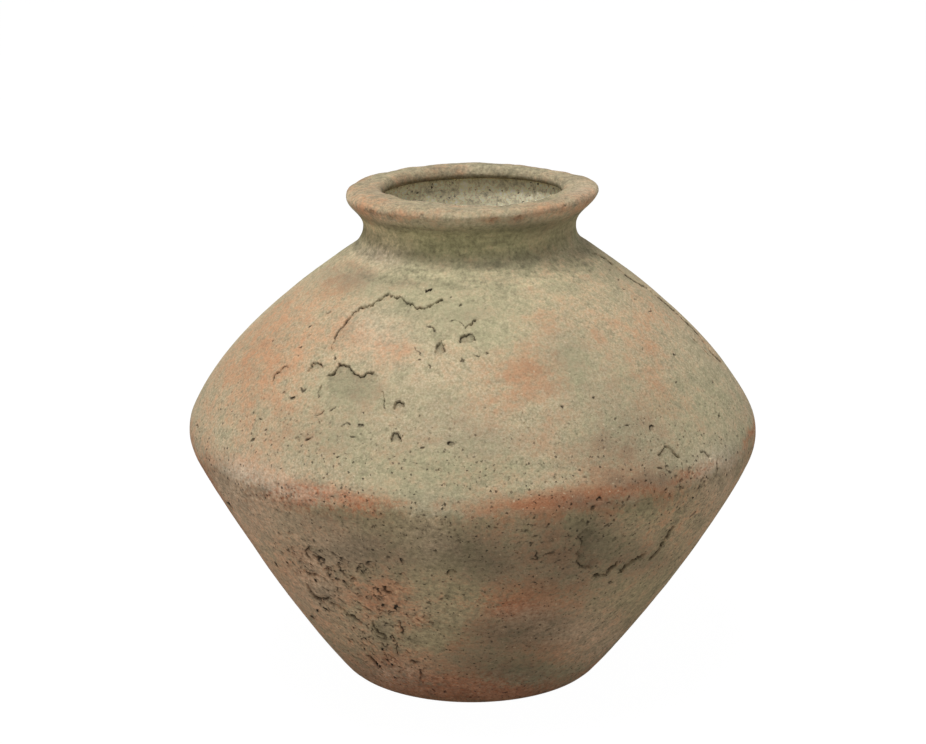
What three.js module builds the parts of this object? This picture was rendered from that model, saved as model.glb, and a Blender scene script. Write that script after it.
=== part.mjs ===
// A hand-built fired clay urn: a dished floor, a lower wall that spreads to a sharp belly,
// a shoulder drawn in to a short neck, and a rolled lip. The sections were made apart and
// luted together with slip along keyed edges, with a coil pressed inside the belly seam.
// Millimetres, +Z up. The origin is the centre of the foot, on the surface the urn stands on.
import * as THREE from "three";

const DEGREE = Math.PI / 180;

// Foot and lower wall
const FOOT_RADIUS = 82;
const FOOT_EDGE = 5.4;
const FOOT_LEAN = 40 * DEGREE;
const LOWER_FULLNESS = 0.28;

// Belly: the round ridge where the two walls meet
const BELLY_RADIUS = 180;
const BELLY_HEIGHT = 160;
const BELLY_ROUND = 28;
const LOWER_LEAN = 25.5 * DEGREE;
const UPPER_LEAN = 26.5 * DEGREE;

// Shoulder and neck
const SHOULDER_RISE = 120.5;
const SHOULDER_FULLNESS = 0.32;
const SHOULDER_PITCH = 35 * DEGREE;
const NECK_RADIUS = 66.5;
const NECK_FILLET = 9;
const NECK_RISE = 29;

// Lip: an oval roll that overhangs the neck outside and, a little, inside
const LIP_THICKNESS = 10.4;
const LIP_PROJECTION = 12.2;
const LIP_UNDERCUT = 2.1;
const LIP_TUCK = 10 * DEGREE;
const FLARE_RISE = 9;
const FLARE_TURN = 6.5;

// Clay thickness
const WALL = 9;
const NECK_WALL = 7;
const FLOOR = 12;
const FLOOR_FILLET = 10;

// Luted seams: a thin bed of slip over a ridge that keys into a groove
const SLIP = 0.4;
const KEY_RISE = 1.5;
const KEY_WIDTH = 3.6;
const NECK_SEAM_INSET = 14;

// Coil pressed into the inside of the belly seam
const COIL_HEIGHT = 34;
const COIL_THICKNESS = 6;
const COIL_EDGE = 1.6;

// Hand-made unevenness
const RIM_LIFT = 1.8;
const RIM_DRIFT = -0.8;
const LOWER_SWAY = 1.2;

// How finely the round forms are faceted
const TURN_FACETS = 56;
const WALL_FACET = 18;
const BEND_FACET = 5.5;
const ROLL_FACET = 4;
const FLOOR_FACET = 26;

// Places that follow from the sizes above
const NECK_FOOT_HEIGHT = BELLY_HEIGHT + SHOULDER_RISE;
const NECK_BORE = NECK_RADIUS - NECK_WALL;
const LIP_HEIGHT = NECK_FOOT_HEIGHT + NECK_RISE;
const LIP_OUTER = NECK_RADIUS + LIP_PROJECTION;
const LIP_INNER = NECK_BORE - LIP_UNDERCUT;
const LIP_CENTRE = (LIP_OUTER + LIP_INNER) / 2;
const LIP_HALF_WIDTH = (LIP_OUTER - LIP_INNER) / 2;
const LIP_HALF_HEIGHT = LIP_THICKNESS / 2;

// A point of the section: x is the radius and y the height
const at = (radius, height) => new THREE.Vector2(radius, height);

// The direction that leans outward from the vertical by an angle, going up
const leaning = (angle) => at(Math.sin(angle), Math.cos(angle));

// The point reached from a start after a distance in a direction
const along = (start, direction, distance) => start.clone().addScaledVector(direction, distance);

const smooth = (value) => THREE.MathUtils.smoothstep(value, 0, 1);

// The point on the oval lip at an angle counted from its outermost point, over the top
function lipPoint(angle) {
  return at(
    LIP_CENTRE + LIP_HALF_WIDTH * Math.cos(angle),
    LIP_HEIGHT + LIP_HALF_HEIGHT * Math.sin(angle),
  );
}

// The outside of the section from the underside of the foot to the tuck under the lip
function makeOutside() {
  const footTop = along(at(FOOT_RADIUS, 0), leaning(FOOT_LEAN), FOOT_EDGE);
  const ridge = at(BELLY_RADIUS - BELLY_ROUND, BELLY_HEIGHT);
  const ridgeFoot = along(ridge, at(Math.cos(LOWER_LEAN), -Math.sin(LOWER_LEAN)), BELLY_ROUND);
  const ridgeTop = along(ridge, at(Math.cos(UPPER_LEAN), Math.sin(UPPER_LEAN)), BELLY_ROUND);
  const neckFoot = at(NECK_RADIUS, NECK_FOOT_HEIGHT);
  const downShoulder = at(Math.cos(SHOULDER_PITCH), -Math.sin(SHOULDER_PITCH));
  const shoulderTop = along(neckFoot, downShoulder, NECK_FILLET);
  const neckStart = along(neckFoot, at(0, 1), NECK_FILLET);
  const tuck = lipPoint(-LIP_TUCK);
  const tuckSlope = at(
    LIP_HALF_WIDTH * Math.sin(LIP_TUCK),
    LIP_HALF_HEIGHT * Math.cos(LIP_TUCK),
  ).normalize();

  const lowerHandle = LOWER_FULLNESS * ridgeFoot.distanceTo(footTop);
  const lowerStart = along(footTop, leaning(FOOT_LEAN), lowerHandle);
  const lowerEnd = along(ridgeFoot, leaning(LOWER_LEAN), -lowerHandle);
  const shoulderHandle = SHOULDER_FULLNESS * shoulderTop.distanceTo(ridgeTop);
  const shoulderStart = along(ridgeTop, leaning(-UPPER_LEAN), shoulderHandle);
  const shoulderEnd = along(shoulderTop, downShoulder, shoulderHandle);
  const flareStart = along(neckStart, at(0, 1), FLARE_RISE);
  const flareEnd = along(tuck, tuckSlope, -FLARE_TURN);

  const outside = new THREE.Path();
  outside.moveTo(FOOT_RADIUS - FOOT_EDGE, 0);
  outside.quadraticCurveTo(FOOT_RADIUS, 0, footTop.x, footTop.y);
  outside.bezierCurveTo(
    lowerStart.x,
    lowerStart.y,
    lowerEnd.x,
    lowerEnd.y,
    ridgeFoot.x,
    ridgeFoot.y,
  );
  outside.absarc(ridge.x, ridge.y, BELLY_ROUND, -LOWER_LEAN, UPPER_LEAN, false);
  outside.bezierCurveTo(
    shoulderStart.x,
    shoulderStart.y,
    shoulderEnd.x,
    shoulderEnd.y,
    shoulderTop.x,
    shoulderTop.y,
  );
  outside.quadraticCurveTo(neckFoot.x, neckFoot.y, neckStart.x, neckStart.y);
  outside.bezierCurveTo(
    flareStart.x,
    flareStart.y,
    flareEnd.x,
    flareEnd.y,
    tuck.x,
    tuck.y,
  );
  return outside;
}

const outside = makeOutside();
const OUTSIDE_LENGTH = outside.getLength();

// Stations are distances along the outside, in millimetres from the underside of the foot
const [FOOT_END, LOWER_END, BELLY_END, SHOULDER_END, NECK_FILLET_END] = outside.getCurveLengths();

// How thick the clay is at a station: the wall thins into the neck through its fillet
function clayAt(station) {
  const share = (station - SHOULDER_END) / (NECK_FILLET_END - SHOULDER_END);
  return THREE.MathUtils.lerp(WALL, NECK_WALL, smooth(share));
}

// The point that lies a depth inside the outer skin at a station
function inWall(station, depth) {
  const share = THREE.MathUtils.clamp(station / OUTSIDE_LENGTH, 0, 1);
  const skin = outside.getPoint(share);
  const slope = outside.getTangent(share);
  return along(skin, at(-slope.y, slope.x), depth);
}

const insidePoint = (station) => inWall(station, clayAt(station));

// The station between two others where a rising curve reaches a height
function stationAtHeight(curve, height, low, high) {
  let below = low;
  let above = high;
  for (let step = 0; step < 40; step += 1) {
    const middle = (below + above) / 2;
    if (curve(middle).y < height) below = middle;
    else above = middle;
  }
  return (below + above) / 2;
}

// The stations of the four seams
const FLOOR_SEAM = stationAtHeight(insidePoint, FLOOR + FLOOR_FILLET, FOOT_END, LOWER_END);
const BELLY_SEAM = LOWER_END + BELLY_ROUND * LOWER_LEAN;
const NECK_SEAM = SHOULDER_END - NECK_SEAM_INSET;
const LIP_SEAM = (NECK_FILLET_END + OUTSIDE_LENGTH) / 2;

// Evenly spaced values from one to another, with no step longer than a facet
function steps(from, to, facet) {
  const count = Math.max(1, Math.ceil(Math.abs(to - from) / facet - 1e-9));
  return Array.from({ length: count + 1 }, (_, index) => from + ((to - from) * index) / count);
}

// Whether a station lies on the long easy curve of the lower wall or of the shoulder
function onLongCurve(station) {
  const onLowerWall = station > FOOT_END && station < LOWER_END;
  const onShoulder = station > BELLY_END && station < SHOULDER_END;
  return onLowerWall || onShoulder;
}

// Points of a curve from one station up to another, closer together where the wall bends
function rising(curve, low, high) {
  const bends = [FOOT_END, LOWER_END, BELLY_END, SHOULDER_END, NECK_FILLET_END];
  const stops = [low, ...bends.filter((bend) => bend > low + 1 && bend < high - 1), high];
  const stations = [low];
  for (let index = 1; index < stops.length; index += 1) {
    const middle = (stops[index - 1] + stops[index]) / 2;
    const facet = onLongCurve(middle) ? WALL_FACET : BEND_FACET;
    stations.push(...steps(stops[index - 1], stops[index], facet).slice(1));
  }
  return stations.map(curve);
}

const falling = (curve, high, low) => rising(curve, low, high).reverse();

const outsidePoint = (station) => inWall(station, 0);

// One face of a seam, from the outer skin to the inner one, with its key. A half of 1 is the
// face of the section above the seam, and -1 the face of the section below it.
function seamFace(outer, inner, half) {
  const across = inner.clone().sub(outer);
  const thickness = across.length();
  across.normalize();
  const up = at(across.y, -across.x);
  const middle = thickness / 2;
  const keyHalf = Math.min(KEY_WIDTH, thickness * 0.6) / 2;
  const ridge = [
    at(0, 0),
    at(middle - keyHalf, 0),
    at(middle, KEY_RISE),
    at(middle + keyHalf, 0),
    at(thickness, 0),
  ];
  return ridge.map((point) =>
    along(along(outer, across, point.x), up, point.y + (half * SLIP) / 2),
  );
}

const wallSeamFace = (station, half) =>
  seamFace(outsidePoint(station), insidePoint(station), half);

// Across the neck the seam under the lip lies level, from the flare to the upright bore
function lipSeamFace(half) {
  const outer = outsidePoint(LIP_SEAM);
  return seamFace(outer, at(NECK_BORE, outer.y), half);
}

// The section of a wall between two seams
function wallProfile(lowSeam, highSeam) {
  return [
    ...rising(outsidePoint, lowSeam, highSeam).slice(1, -1),
    ...wallSeamFace(highSeam, -1),
    ...falling(insidePoint, highSeam, lowSeam).slice(1, -1),
    ...wallSeamFace(lowSeam, 1).reverse(),
  ];
}

// The floor: a flat disc with a rounded foot, turned up at its edge to take the lower wall
function floorProfile() {
  const wallFoot = stationAtHeight(insidePoint, FLOOR, 0, FLOOR_SEAM);
  const filletRise = FLOOR_FILLET * Math.cos(FOOT_LEAN);
  const filletTop = stationAtHeight(insidePoint, FLOOR + filletRise, 0, FLOOR_SEAM);
  const corner = insidePoint(wallFoot);
  const top = insidePoint(filletTop);
  const fillet = new THREE.QuadraticBezierCurve(top, corner, at(corner.x - FLOOR_FILLET, FLOOR));
  const underside = steps(0, FOOT_RADIUS - FOOT_EDGE, FLOOR_FACET).map((radius) => at(radius, 0));
  const upperside = steps(corner.x - FLOOR_FILLET, 0, FLOOR_FACET).map((radius) => at(radius, FLOOR));
  return [
    ...underside.slice(0, -1),
    ...rising(outsidePoint, 0, FLOOR_SEAM).slice(0, -1),
    ...wallSeamFace(FLOOR_SEAM, -1),
    ...fillet.getPoints(4).slice(0, -1),
    ...upperside,
  ];
}

// The neck: drawn up from the shoulder, waisted, and flared under the lip, with an upright bore
function neckProfile() {
  return [
    ...rising(outsidePoint, NECK_SEAM, LIP_SEAM).slice(1, -1),
    ...lipSeamFace(-1),
    ...falling(insidePoint, NECK_FILLET_END, NECK_SEAM).slice(0, -1),
    ...wallSeamFace(NECK_SEAM, 1).reverse(),
  ];
}

// The lip: the top of the flare, rolled over an oval and tucked back to the bore
function lipProfile() {
  const overBore = Math.acos((LIP_CENTRE - NECK_BORE) / LIP_HALF_WIDTH);
  const turn = Math.PI + overBore + LIP_TUCK;
  const roll = steps(-LIP_TUCK, turn - LIP_TUCK, ROLL_FACET / LIP_HALF_WIDTH).map(lipPoint);
  return [
    ...rising(outsidePoint, LIP_SEAM, OUTSIDE_LENGTH).slice(1, -1),
    ...roll,
    ...lipSeamFace(1).reverse(),
  ];
}

// The coil inside the belly: it follows the wall outside and swells to its middle inside
function coilProfile() {
  const low = BELLY_SEAM - COIL_HEIGHT / 2;
  const high = BELLY_SEAM + COIL_HEIGHT / 2;
  const backed = (station) => inWall(station, WALL + SLIP);
  const swollen = (station) => {
    const height = (station - BELLY_SEAM) / (COIL_HEIGHT / 2);
    const swell = COIL_EDGE + (COIL_THICKNESS - COIL_EDGE) * Math.sqrt(1 - height * height);
    return inWall(station, WALL + SLIP + swell);
  };
  return [
    ...steps(low, high, BEND_FACET).map(backed),
    ...steps(high, low, BEND_FACET).map(swollen),
  ];
}

// The hand-made unevenness, a smooth shift that the sections share: the rim is lower on one
// side, the neck stands a little off centre and the lower wall bulges to the other side. It
// fades to nothing at the foot and at the belly.
function unevenness(point) {
  const aboveBelly = smooth((point.z - BELLY_HEIGHT) / (LIP_HEIGHT - BELLY_HEIGHT));
  const belowBelly = THREE.MathUtils.clamp(point.z / BELLY_HEIGHT, 0, 1);
  const bulge = Math.sin(Math.PI * belowBelly) ** 2;
  return new THREE.Vector3(
    RIM_DRIFT * aboveBelly + LOWER_SWAY * bulge,
    0,
    (RIM_LIFT * aboveBelly * aboveBelly * point.x) / LIP_OUTER,
  );
}

// A ring turned round the vertical axis from a closed section, then made uneven
function turned(profile) {
  const closed = profile[0].x > 0 ? [...profile, profile[0].clone()] : profile;
  const geometry = new THREE.LatheGeometry(closed, TURN_FACETS);
  geometry.rotateX(Math.PI / 2);
  const position = geometry.getAttribute("position");
  const point = new THREE.Vector3();
  for (let index = 0; index < position.count; index += 1) {
    point.fromBufferAttribute(position, index);
    point.add(unevenness(point));
    position.setXYZ(index, point.x, point.y, point.z);
  }
  geometry.computeVertexNormals();
  return geometry;
}

// Unglazed clay, dry and matt, in the colour that each section weathered to
function weatheredClay(colour) {
  return new THREE.MeshStandardMaterial({ color: colour, roughness: 0.95, metalness: 0 });
}

function addSection(urn, name, profile, colour) {
  const section = new THREE.Mesh(turned(profile), weatheredClay(colour));
  section.name = name;
  urn.add(section);
}

const urn = new THREE.Group();
addSection(urn, "base_slab", floorProfile(), 0x7a5a45);
addSection(urn, "lower_wall", wallProfile(FLOOR_SEAM, BELLY_SEAM), 0x7e6a50);
addSection(urn, "belly_coil", coilProfile(), 0x94684b);
addSection(urn, "shoulder_wall", wallProfile(BELLY_SEAM, NECK_SEAM), 0xb0a585);
addSection(urn, "neck_collar", neckProfile(), 0x8d8463);
addSection(urn, "rim_lip", lipProfile(), 0xb29c80);

export default urn;
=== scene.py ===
"""The weathered looks of a hand-built fired clay urn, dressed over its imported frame.

Sizes are in millimetres until a mesh is turned, and in metres after that. The origin is the
centre of the foot, +Z is up, and the front of the urn faces -Y.
"""
import logging
import math
from dataclasses import dataclass, field, fields
from enum import Enum

import bpy
import numpy as np
from mathutils import Matrix, Vector


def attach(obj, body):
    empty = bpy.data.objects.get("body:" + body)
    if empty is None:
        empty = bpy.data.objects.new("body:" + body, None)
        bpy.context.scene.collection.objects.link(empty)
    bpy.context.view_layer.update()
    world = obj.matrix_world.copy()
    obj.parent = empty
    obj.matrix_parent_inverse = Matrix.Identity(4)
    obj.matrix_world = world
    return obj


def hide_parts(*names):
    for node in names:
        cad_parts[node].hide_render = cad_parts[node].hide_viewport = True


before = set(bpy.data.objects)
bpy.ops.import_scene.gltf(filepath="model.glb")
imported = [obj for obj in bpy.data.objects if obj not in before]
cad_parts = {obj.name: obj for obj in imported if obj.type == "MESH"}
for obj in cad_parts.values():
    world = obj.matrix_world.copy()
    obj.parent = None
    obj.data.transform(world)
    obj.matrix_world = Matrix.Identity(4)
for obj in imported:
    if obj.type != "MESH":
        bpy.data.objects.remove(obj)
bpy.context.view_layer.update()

LOG = logging.getLogger("urn")
METRES = 0.001
BODY = "root"

Array = np.ndarray
Pair = tuple[float, float]
Triple = tuple[float, float, float]
Tint = tuple[int, int, int]
Socket = bpy.types.NodeSocket


def smooth(value: Array, start: float = 0.0, width: float = 1.0) -> Array:
    """Ease from 0 to 1 as a value passes through a band.

    Args:
        value: Numbers of any size.
        start: Where the band starts.
        width: How wide the band is.

    Returns:
        The eased numbers, each between 0 and 1.
    """
    share = np.clip((value - start) / width, 0.0, 1.0)
    return share * share * (3.0 - 2.0 * share)


def bell(value: Array, middle: Array | float, width: Array | float) -> Array:
    """Return a bump of height 1 at a middle, which falls away over a width."""
    return np.exp(-((value - middle) / width) ** 2)


def turned(radius: Array, height: Array, angle: Array) -> Array:
    """Return points at radii and heights, turned round the axis to angles, one row each."""
    return np.column_stack([radius * np.cos(angle), radius * np.sin(angle), height])


def bezier(handles: list[Array], count: int = 160) -> Array:
    """Sample a Bezier curve.

    Args:
        handles: Its end points and the handles between them.
        count: How many steps it is cut into.

    Returns:
        The points along it, one row each.
    """
    share = np.linspace(0.0, 1.0, count + 1)[:, None]
    level = [np.asarray(handle, float)[None, :] for handle in handles]
    while len(level) > 1:
        level = [low * (1.0 - share) + high * share for low, high in zip(level, level[1:])]
    return level[0]


def leaning(angle: float) -> Array:
    """Return the upward direction that leans outward by an angle, as radius and height."""
    return np.array([math.sin(angle), math.cos(angle)])


def line_normals(points: Array) -> Array:
    """Find the outward normals of a section line.

    Args:
        points: Radius and height along a line that keeps the clay on its left.

    Returns:
        One unit normal for each point, as radius and height.
    """
    slope = np.gradient(points, axis=0)
    slope /= np.linalg.norm(slope, axis=1, keepdims=True) + 1e-9
    return np.column_stack([slope[:, 1], -slope[:, 0]])


def run_lengths(points: Array) -> Array:
    """Return the distance along a line at each of its points."""
    return np.concatenate([[0.0], np.cumsum(np.linalg.norm(np.diff(points, axis=0), axis=1))])


@dataclass(frozen=True)
class UrnForm:
    """The urn's sizes in millimetres, the same as those of its solids."""

    foot_radius: float = 82.0
    foot_edge: float = 5.4
    foot_lean: float = math.radians(40.0)
    lower_fullness: float = 0.28
    belly_radius: float = 180.0
    belly_height: float = 160.0
    belly_round: float = 28.0
    lower_lean: float = math.radians(25.5)
    upper_lean: float = math.radians(26.5)
    shoulder_rise: float = 120.5
    shoulder_fullness: float = 0.32
    shoulder_pitch: float = math.radians(35.0)
    neck_radius: float = 66.5
    neck_fillet: float = 9.0
    neck_rise: float = 29.0
    lip_thickness: float = 10.4
    lip_projection: float = 12.2
    lip_undercut: float = 2.1
    lip_tuck: float = math.radians(10.0)
    flare_rise: float = 9.0
    flare_turn: float = 6.5
    wall: float = 9.0
    neck_wall: float = 7.0
    floor: float = 12.0
    floor_fillet: float = 10.0
    slip: float = 0.4
    neck_seam_inset: float = 14.0
    coil_height: float = 34.0
    coil_thickness: float = 6.0
    coil_edge: float = 1.6
    rim_lift: float = 1.8
    sway_heights: tuple[float, ...] = (0.0, 42.0, 95.0, 135.0, 165.0, 230.0, 281.0, 297.0, 315.0)
    sways: tuple[float, ...] = (0.0, 0.6, 1.9, 1.6, 0.6, -0.7, -1.8, -0.7, 0.5)

    @property
    def neck_foot_height(self) -> float:
        """Return the height where the shoulder would meet an upright neck."""
        return self.belly_height + self.shoulder_rise

    @property
    def neck_bore(self) -> float:
        """Return the radius of the upright bore."""
        return self.neck_radius - self.neck_wall

    @property
    def lip_height(self) -> float:
        """Return the height of the middle of the lip."""
        return self.neck_foot_height + self.neck_rise

    @property
    def lip_outer(self) -> float:
        """Return the radius of the lip's outermost point."""
        return self.neck_radius + self.lip_projection

    @property
    def lip_centre(self) -> float:
        """Return the radius of the middle of the lip."""
        return (self.lip_outer + self.neck_bore - self.lip_undercut) / 2.0

    @property
    def lip_half_width(self) -> float:
        """Return half the lip's width."""
        return self.lip_outer - self.lip_centre

    def lip_points(self, angles: Array) -> Array:
        """Return points of the oval lip at angles from its outermost point, over the top."""
        return np.column_stack([
            self.lip_centre + self.lip_half_width * np.cos(angles),
            self.lip_height + self.lip_thickness / 2.0 * np.sin(angles),
        ])

    def drift(self, height: Array) -> Array:
        """Return how far the hand-made wall stands off centre towards +X at a height."""
        return np.interp(height, self.sway_heights, self.sways)

    def lift(self, x: Array, height: Array) -> Array:
        """Return how far the wall is raised by the rim's slant at a place."""
        above = smooth(height, self.belly_height, self.lip_height - self.belly_height)
        return self.rim_lift * above * above * x / self.lip_outer


@dataclass
class Skin:
    """The outer skin as one line, from the edge of the underside over the lip to the bore."""

    form: UrnForm
    wall_steps = 500
    belly_points = 161
    lip_points = 321
    search_points = 2001

    def __post_init__(self) -> None:
        """Lay out the line from the form's sizes."""
        form = self.form
        curves = self._curves()
        points = np.concatenate([curves[0]] + [curve[1:] for curve in curves[1:]])
        ends = np.cumsum([len(curves[0]) - 1] + [len(curve) - 1 for curve in curves[1:]])
        self.points = points
        self.stations = run_lengths(points)
        self.normals = line_normals(points)
        stops = self.stations[ends]
        self.foot_end, self.lower_end, self.belly_end = stops[:3]
        self.shoulder_end, self.fillet_end, self.tuck_end, self.end = stops[3:]
        self.belly_seam = self.lower_end + form.belly_round * form.lower_lean
        self.neck_seam = self.shoulder_end - form.neck_seam_inset
        self.lip_seam = (self.fillet_end + self.tuck_end) / 2.0
        self.floor_seam = self.inside_station(form.floor + form.floor_fillet)

    def _curves(self) -> list[Array]:
        """Return the foot, lower wall, belly, shoulder, neck fillet, flare and lip in turn."""
        form = self.form
        foot_start = np.array([form.foot_radius - form.foot_edge, 0.0])
        foot_corner = np.array([form.foot_radius, 0.0])
        foot_top = foot_corner + leaning(form.foot_lean) * form.foot_edge
        centre = np.array([form.belly_radius - form.belly_round, form.belly_height])
        turn = np.linspace(-form.lower_lean, form.upper_lean, self.belly_points)
        belly = centre + form.belly_round * np.column_stack([np.cos(turn), np.sin(turn)])
        neck_foot = np.array([form.neck_radius, form.neck_foot_height])
        down = np.array([math.cos(form.shoulder_pitch), -math.sin(form.shoulder_pitch)])
        shoulder_top = neck_foot + down * form.neck_fillet
        neck_start = neck_foot + np.array([0.0, form.neck_fillet])
        over_bore = math.acos((form.lip_centre - form.neck_bore) / form.lip_half_width)
        roll = form.lip_points(np.linspace(-form.lip_tuck, math.pi + over_bore, self.lip_points))
        tuck = roll[0]
        tuck_slope = roll[1] - roll[0]
        tuck_slope /= np.linalg.norm(tuck_slope)
        lower_handle = form.lower_fullness * np.linalg.norm(belly[0] - foot_top)
        shoulder_handle = form.shoulder_fullness * np.linalg.norm(shoulder_top - belly[-1])
        return [
            bezier([foot_start, foot_corner, foot_top]),
            bezier([
                foot_top,
                foot_top + leaning(form.foot_lean) * lower_handle,
                belly[0] - leaning(form.lower_lean) * lower_handle,
                belly[0],
            ], self.wall_steps),
            belly,
            bezier([
                belly[-1],
                belly[-1] + leaning(-form.upper_lean) * shoulder_handle,
                shoulder_top + down * shoulder_handle,
                shoulder_top,
            ], self.wall_steps),
            bezier([shoulder_top, neck_foot, neck_start]),
            bezier([
                neck_start,
                neck_start + np.array([0.0, form.flare_rise]),
                tuck - tuck_slope * form.flare_turn,
                tuck,
            ]),
            roll,
        ]

    def clay(self, station: Array) -> Array:
        """Return the clay's thickness, which thins into the neck through its fillet."""
        share = smooth(station, self.shoulder_end, self.fillet_end - self.shoulder_end)
        return self.form.wall + (self.form.neck_wall - self.form.wall) * share

    def _along(self, table: Array, station: Array) -> Array:
        """Return the columns of one of the line's tables at stations."""
        return np.column_stack([np.interp(station, self.stations, column) for column in table.T])

    def place(self, station: Array) -> Array:
        """Return radius and height of the outer skin at stations."""
        return self._along(self.points, station)

    def facing(self, station: Array) -> Array:
        """Return the outward normals of the outer skin at stations."""
        return self._along(self.normals, station)

    def inside(self, station: Array, extra: Array | float = 0.0) -> Array:
        """Return the inner face at stations, or a surface that lies deeper by an extra."""
        depth = self.clay(station) + extra
        return self.place(station) - self.facing(station) * np.reshape(depth, (-1, 1))

    def inside_station(self, height: float) -> float:
        """Return the station at which the lower wall's inner face reaches a height."""
        stations = np.linspace(0.0, self.lower_end, self.search_points)
        return float(np.interp(height, self.inside(stations)[:, 1], stations))

    def station_at(self, height: Array) -> Array:
        """Return the station of the outer skin at heights below the lip."""
        below = self.stations <= self.tuck_end
        return np.interp(height, self.points[below, 1], self.stations[below])


@dataclass(frozen=True)
class PhotoCamera:
    """The camera that the urn was seen by, in the photograph's frame of pixels."""

    frame_width: float = 926.0
    frame_height: float = 744.0
    distance: float = 1400.0
    elevation: float = math.radians(15.93)
    aim_height: float = 192.67
    pixels_per_mm: float = 1.57
    side_shift: float = -5.4
    sensor_width: float = 36.0
    sight_end: float = 60.0
    search_before: float = 260.0
    search_past: float = 120.0
    search_step: float = 0.4

    @property
    def middle(self) -> Array:
        """Return the middle of the frame in pixels."""
        return np.array([self.frame_width, self.frame_height]) / 2.0

    @property
    def focal(self) -> float:
        """Return the focal length in pixels."""
        return self.distance * self.pixels_per_mm

    @property
    def eye(self) -> Array:
        """Return the camera's place in millimetres."""
        back = self.distance * math.cos(self.elevation)
        up = self.distance * math.sin(self.elevation)
        return np.array([self.side_shift, -back, self.aim_height + up])

    @property
    def axes(self) -> Array:
        """Return the camera's right, up and forward directions, one row each."""
        sine, cosine = math.sin(self.elevation), math.cos(self.elevation)
        return np.array([[1.0, 0.0, 0.0], [0.0, sine, cosine], [0.0, cosine, -sine]])

    def project(self, places: Array) -> Array:
        """Find where places on the urn stand in the photograph.

        Args:
            places: Points in millimetres, one row each.

        Returns:
            Their pixels, one row each.
        """
        seen = (places - self.eye) @ self.axes.T
        scale = self.focal / seen[:, 2:]
        return self.middle + seen[:, :2] * scale * np.array([1.0, -1.0])

    def cast(self, pixels: Array, skin: Skin) -> Array:
        """Find the places on the outer skin that pixels show.

        Args:
            pixels: Points in the photograph, one row each.
            skin: The outer skin.

        Returns:
            Angle and station of each, one row each. A pixel beside the urn gives the place
            that its ray passes nearest to.
        """
        offset = (np.asarray(pixels, float) - self.middle) * np.array([1.0, -1.0]) / self.focal
        ray = np.column_stack([offset, np.ones(len(offset))]) @ self.axes
        nearest, farthest = self.distance - self.search_before, self.distance + self.search_past
        reach = np.arange(nearest, farthest, self.search_step)
        track = self.eye + ray[:, None, :] * reach[None, :, None]
        below = skin.stations <= skin.tuck_end
        wall = np.interp(track[..., 2], skin.points[below, 1], skin.points[below, 0])
        across = track[..., 0] - skin.form.drift(track[..., 2])
        gap = np.hypot(across, track[..., 1]) - wall
        hit = np.where((gap < 0.0).any(axis=1), (gap < 0.0).argmax(axis=1), gap.argmin(axis=1))
        found = np.take_along_axis(track, hit[:, None, None].repeat(3, axis=2), axis=1)[:, 0]
        angle = np.arctan2(found[:, 1], found[:, 0] - skin.form.drift(found[:, 2]))
        return np.column_stack([angle, skin.station_at(found[:, 2])])

    def make(self) -> bpy.types.Object:
        """Return the Blender camera, set up and made the scene's own."""
        lens = bpy.data.cameras.new("photo_camera")
        lens.sensor_width = self.sensor_width
        lens.lens = self.focal * self.sensor_width / self.frame_width
        lens.clip_end = self.sight_end
        camera = bpy.data.objects.new("photo_camera", lens)
        right, up, forward = (Vector(axis) for axis in self.axes)
        turn = Matrix((right, up, -forward)).transposed().to_4x4()
        camera.matrix_world = Matrix.Translation(Vector(self.eye) * METRES) @ turn
        bpy.context.collection.objects.link(camera)
        bpy.context.scene.camera = camera
        return camera


class Recess(Enum):
    """Which side of a broken edge the skin has come away on, walking along its points."""

    LEFT = -1.0
    RIGHT = 1.0


@dataclass(frozen=True)
class Flake:
    """A broken edge of the skin, with the shallow scar of a lost flake beside it."""

    points: tuple[Pair, ...]
    side: Recess = Recess.RIGHT
    drop: float = 1.0
    fade: float = 8.0
    cut: float = 0.9
    gap: float = 0.34
    grime: float = 0.12


@dataclass(frozen=True)
class Crack:
    """A fine open crack, by its points in the photograph."""

    points: tuple[Pair, ...]
    cut: float = 0.9


@dataclass(frozen=True)
class Patch:
    """A patch of the photograph, by its middle, half width and half height in pixels."""

    x: float
    y: float
    half_width: float
    half_height: float

    def pixels(self, shares: Array) -> Array:
        """Return the pixels at shares of its half width and height from its middle."""
        return np.array([self.x, self.y]) + shares * (self.half_width, self.half_height)

    def reach(self, pixels: Array) -> Array:
        """Return how far out pixels lie, as a share of its half width and height."""
        return np.hypot((pixels[:, 0] - self.x) / self.half_width,
                        (pixels[:, 1] - self.y) / self.half_height)


@dataclass(frozen=True)
class MarkField(Patch):
    """A patch that is thick with small marks, and the largest half width of a pit there."""

    count: int
    largest: float = 0.0


@dataclass(frozen=True)
class Stain(Patch):
    """A soft patch of colour and how strong it is."""

    strength: float


# Broken edges on the shoulder, by pixels of the photograph
PLAQUE_FOOT = Flake(
    ((331, 353), (332, 344), (335, 337), (339, 331), (343, 326), (346, 321)),
    Recess.RIGHT, 0.6, 20.0, 0.6, 0.24)
PLAQUE_EDGE = Flake(
    ((342, 328), (347, 318), (354, 310), (360, 306), (371, 303),
     (378, 298.5), (385.5, 293), (392, 295), (397, 297), (401, 296.6), (408, 300), (412, 303),
     (419, 307), (426, 306), (433, 302), (442, 298.5), (446, 302)), drop=1.1, fade=24.0, cut=1.1)
GREY_SCAR_EDGE = Flake(
    ((325, 375.7), (331, 374), (336, 369), (339.5, 363), (344, 364), (349, 366), (354, 371),
     (358, 373), (363, 376), (368.5, 373.5), (377, 368.5)), drop=1.3, fade=16.0, cut=1.1,
    grime=0.3)
GREY_SCAR_END = Flake(((380, 389), (383, 394.5), (386, 401), (385.5, 410)), drop=1.0, cut=0.9)
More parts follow.
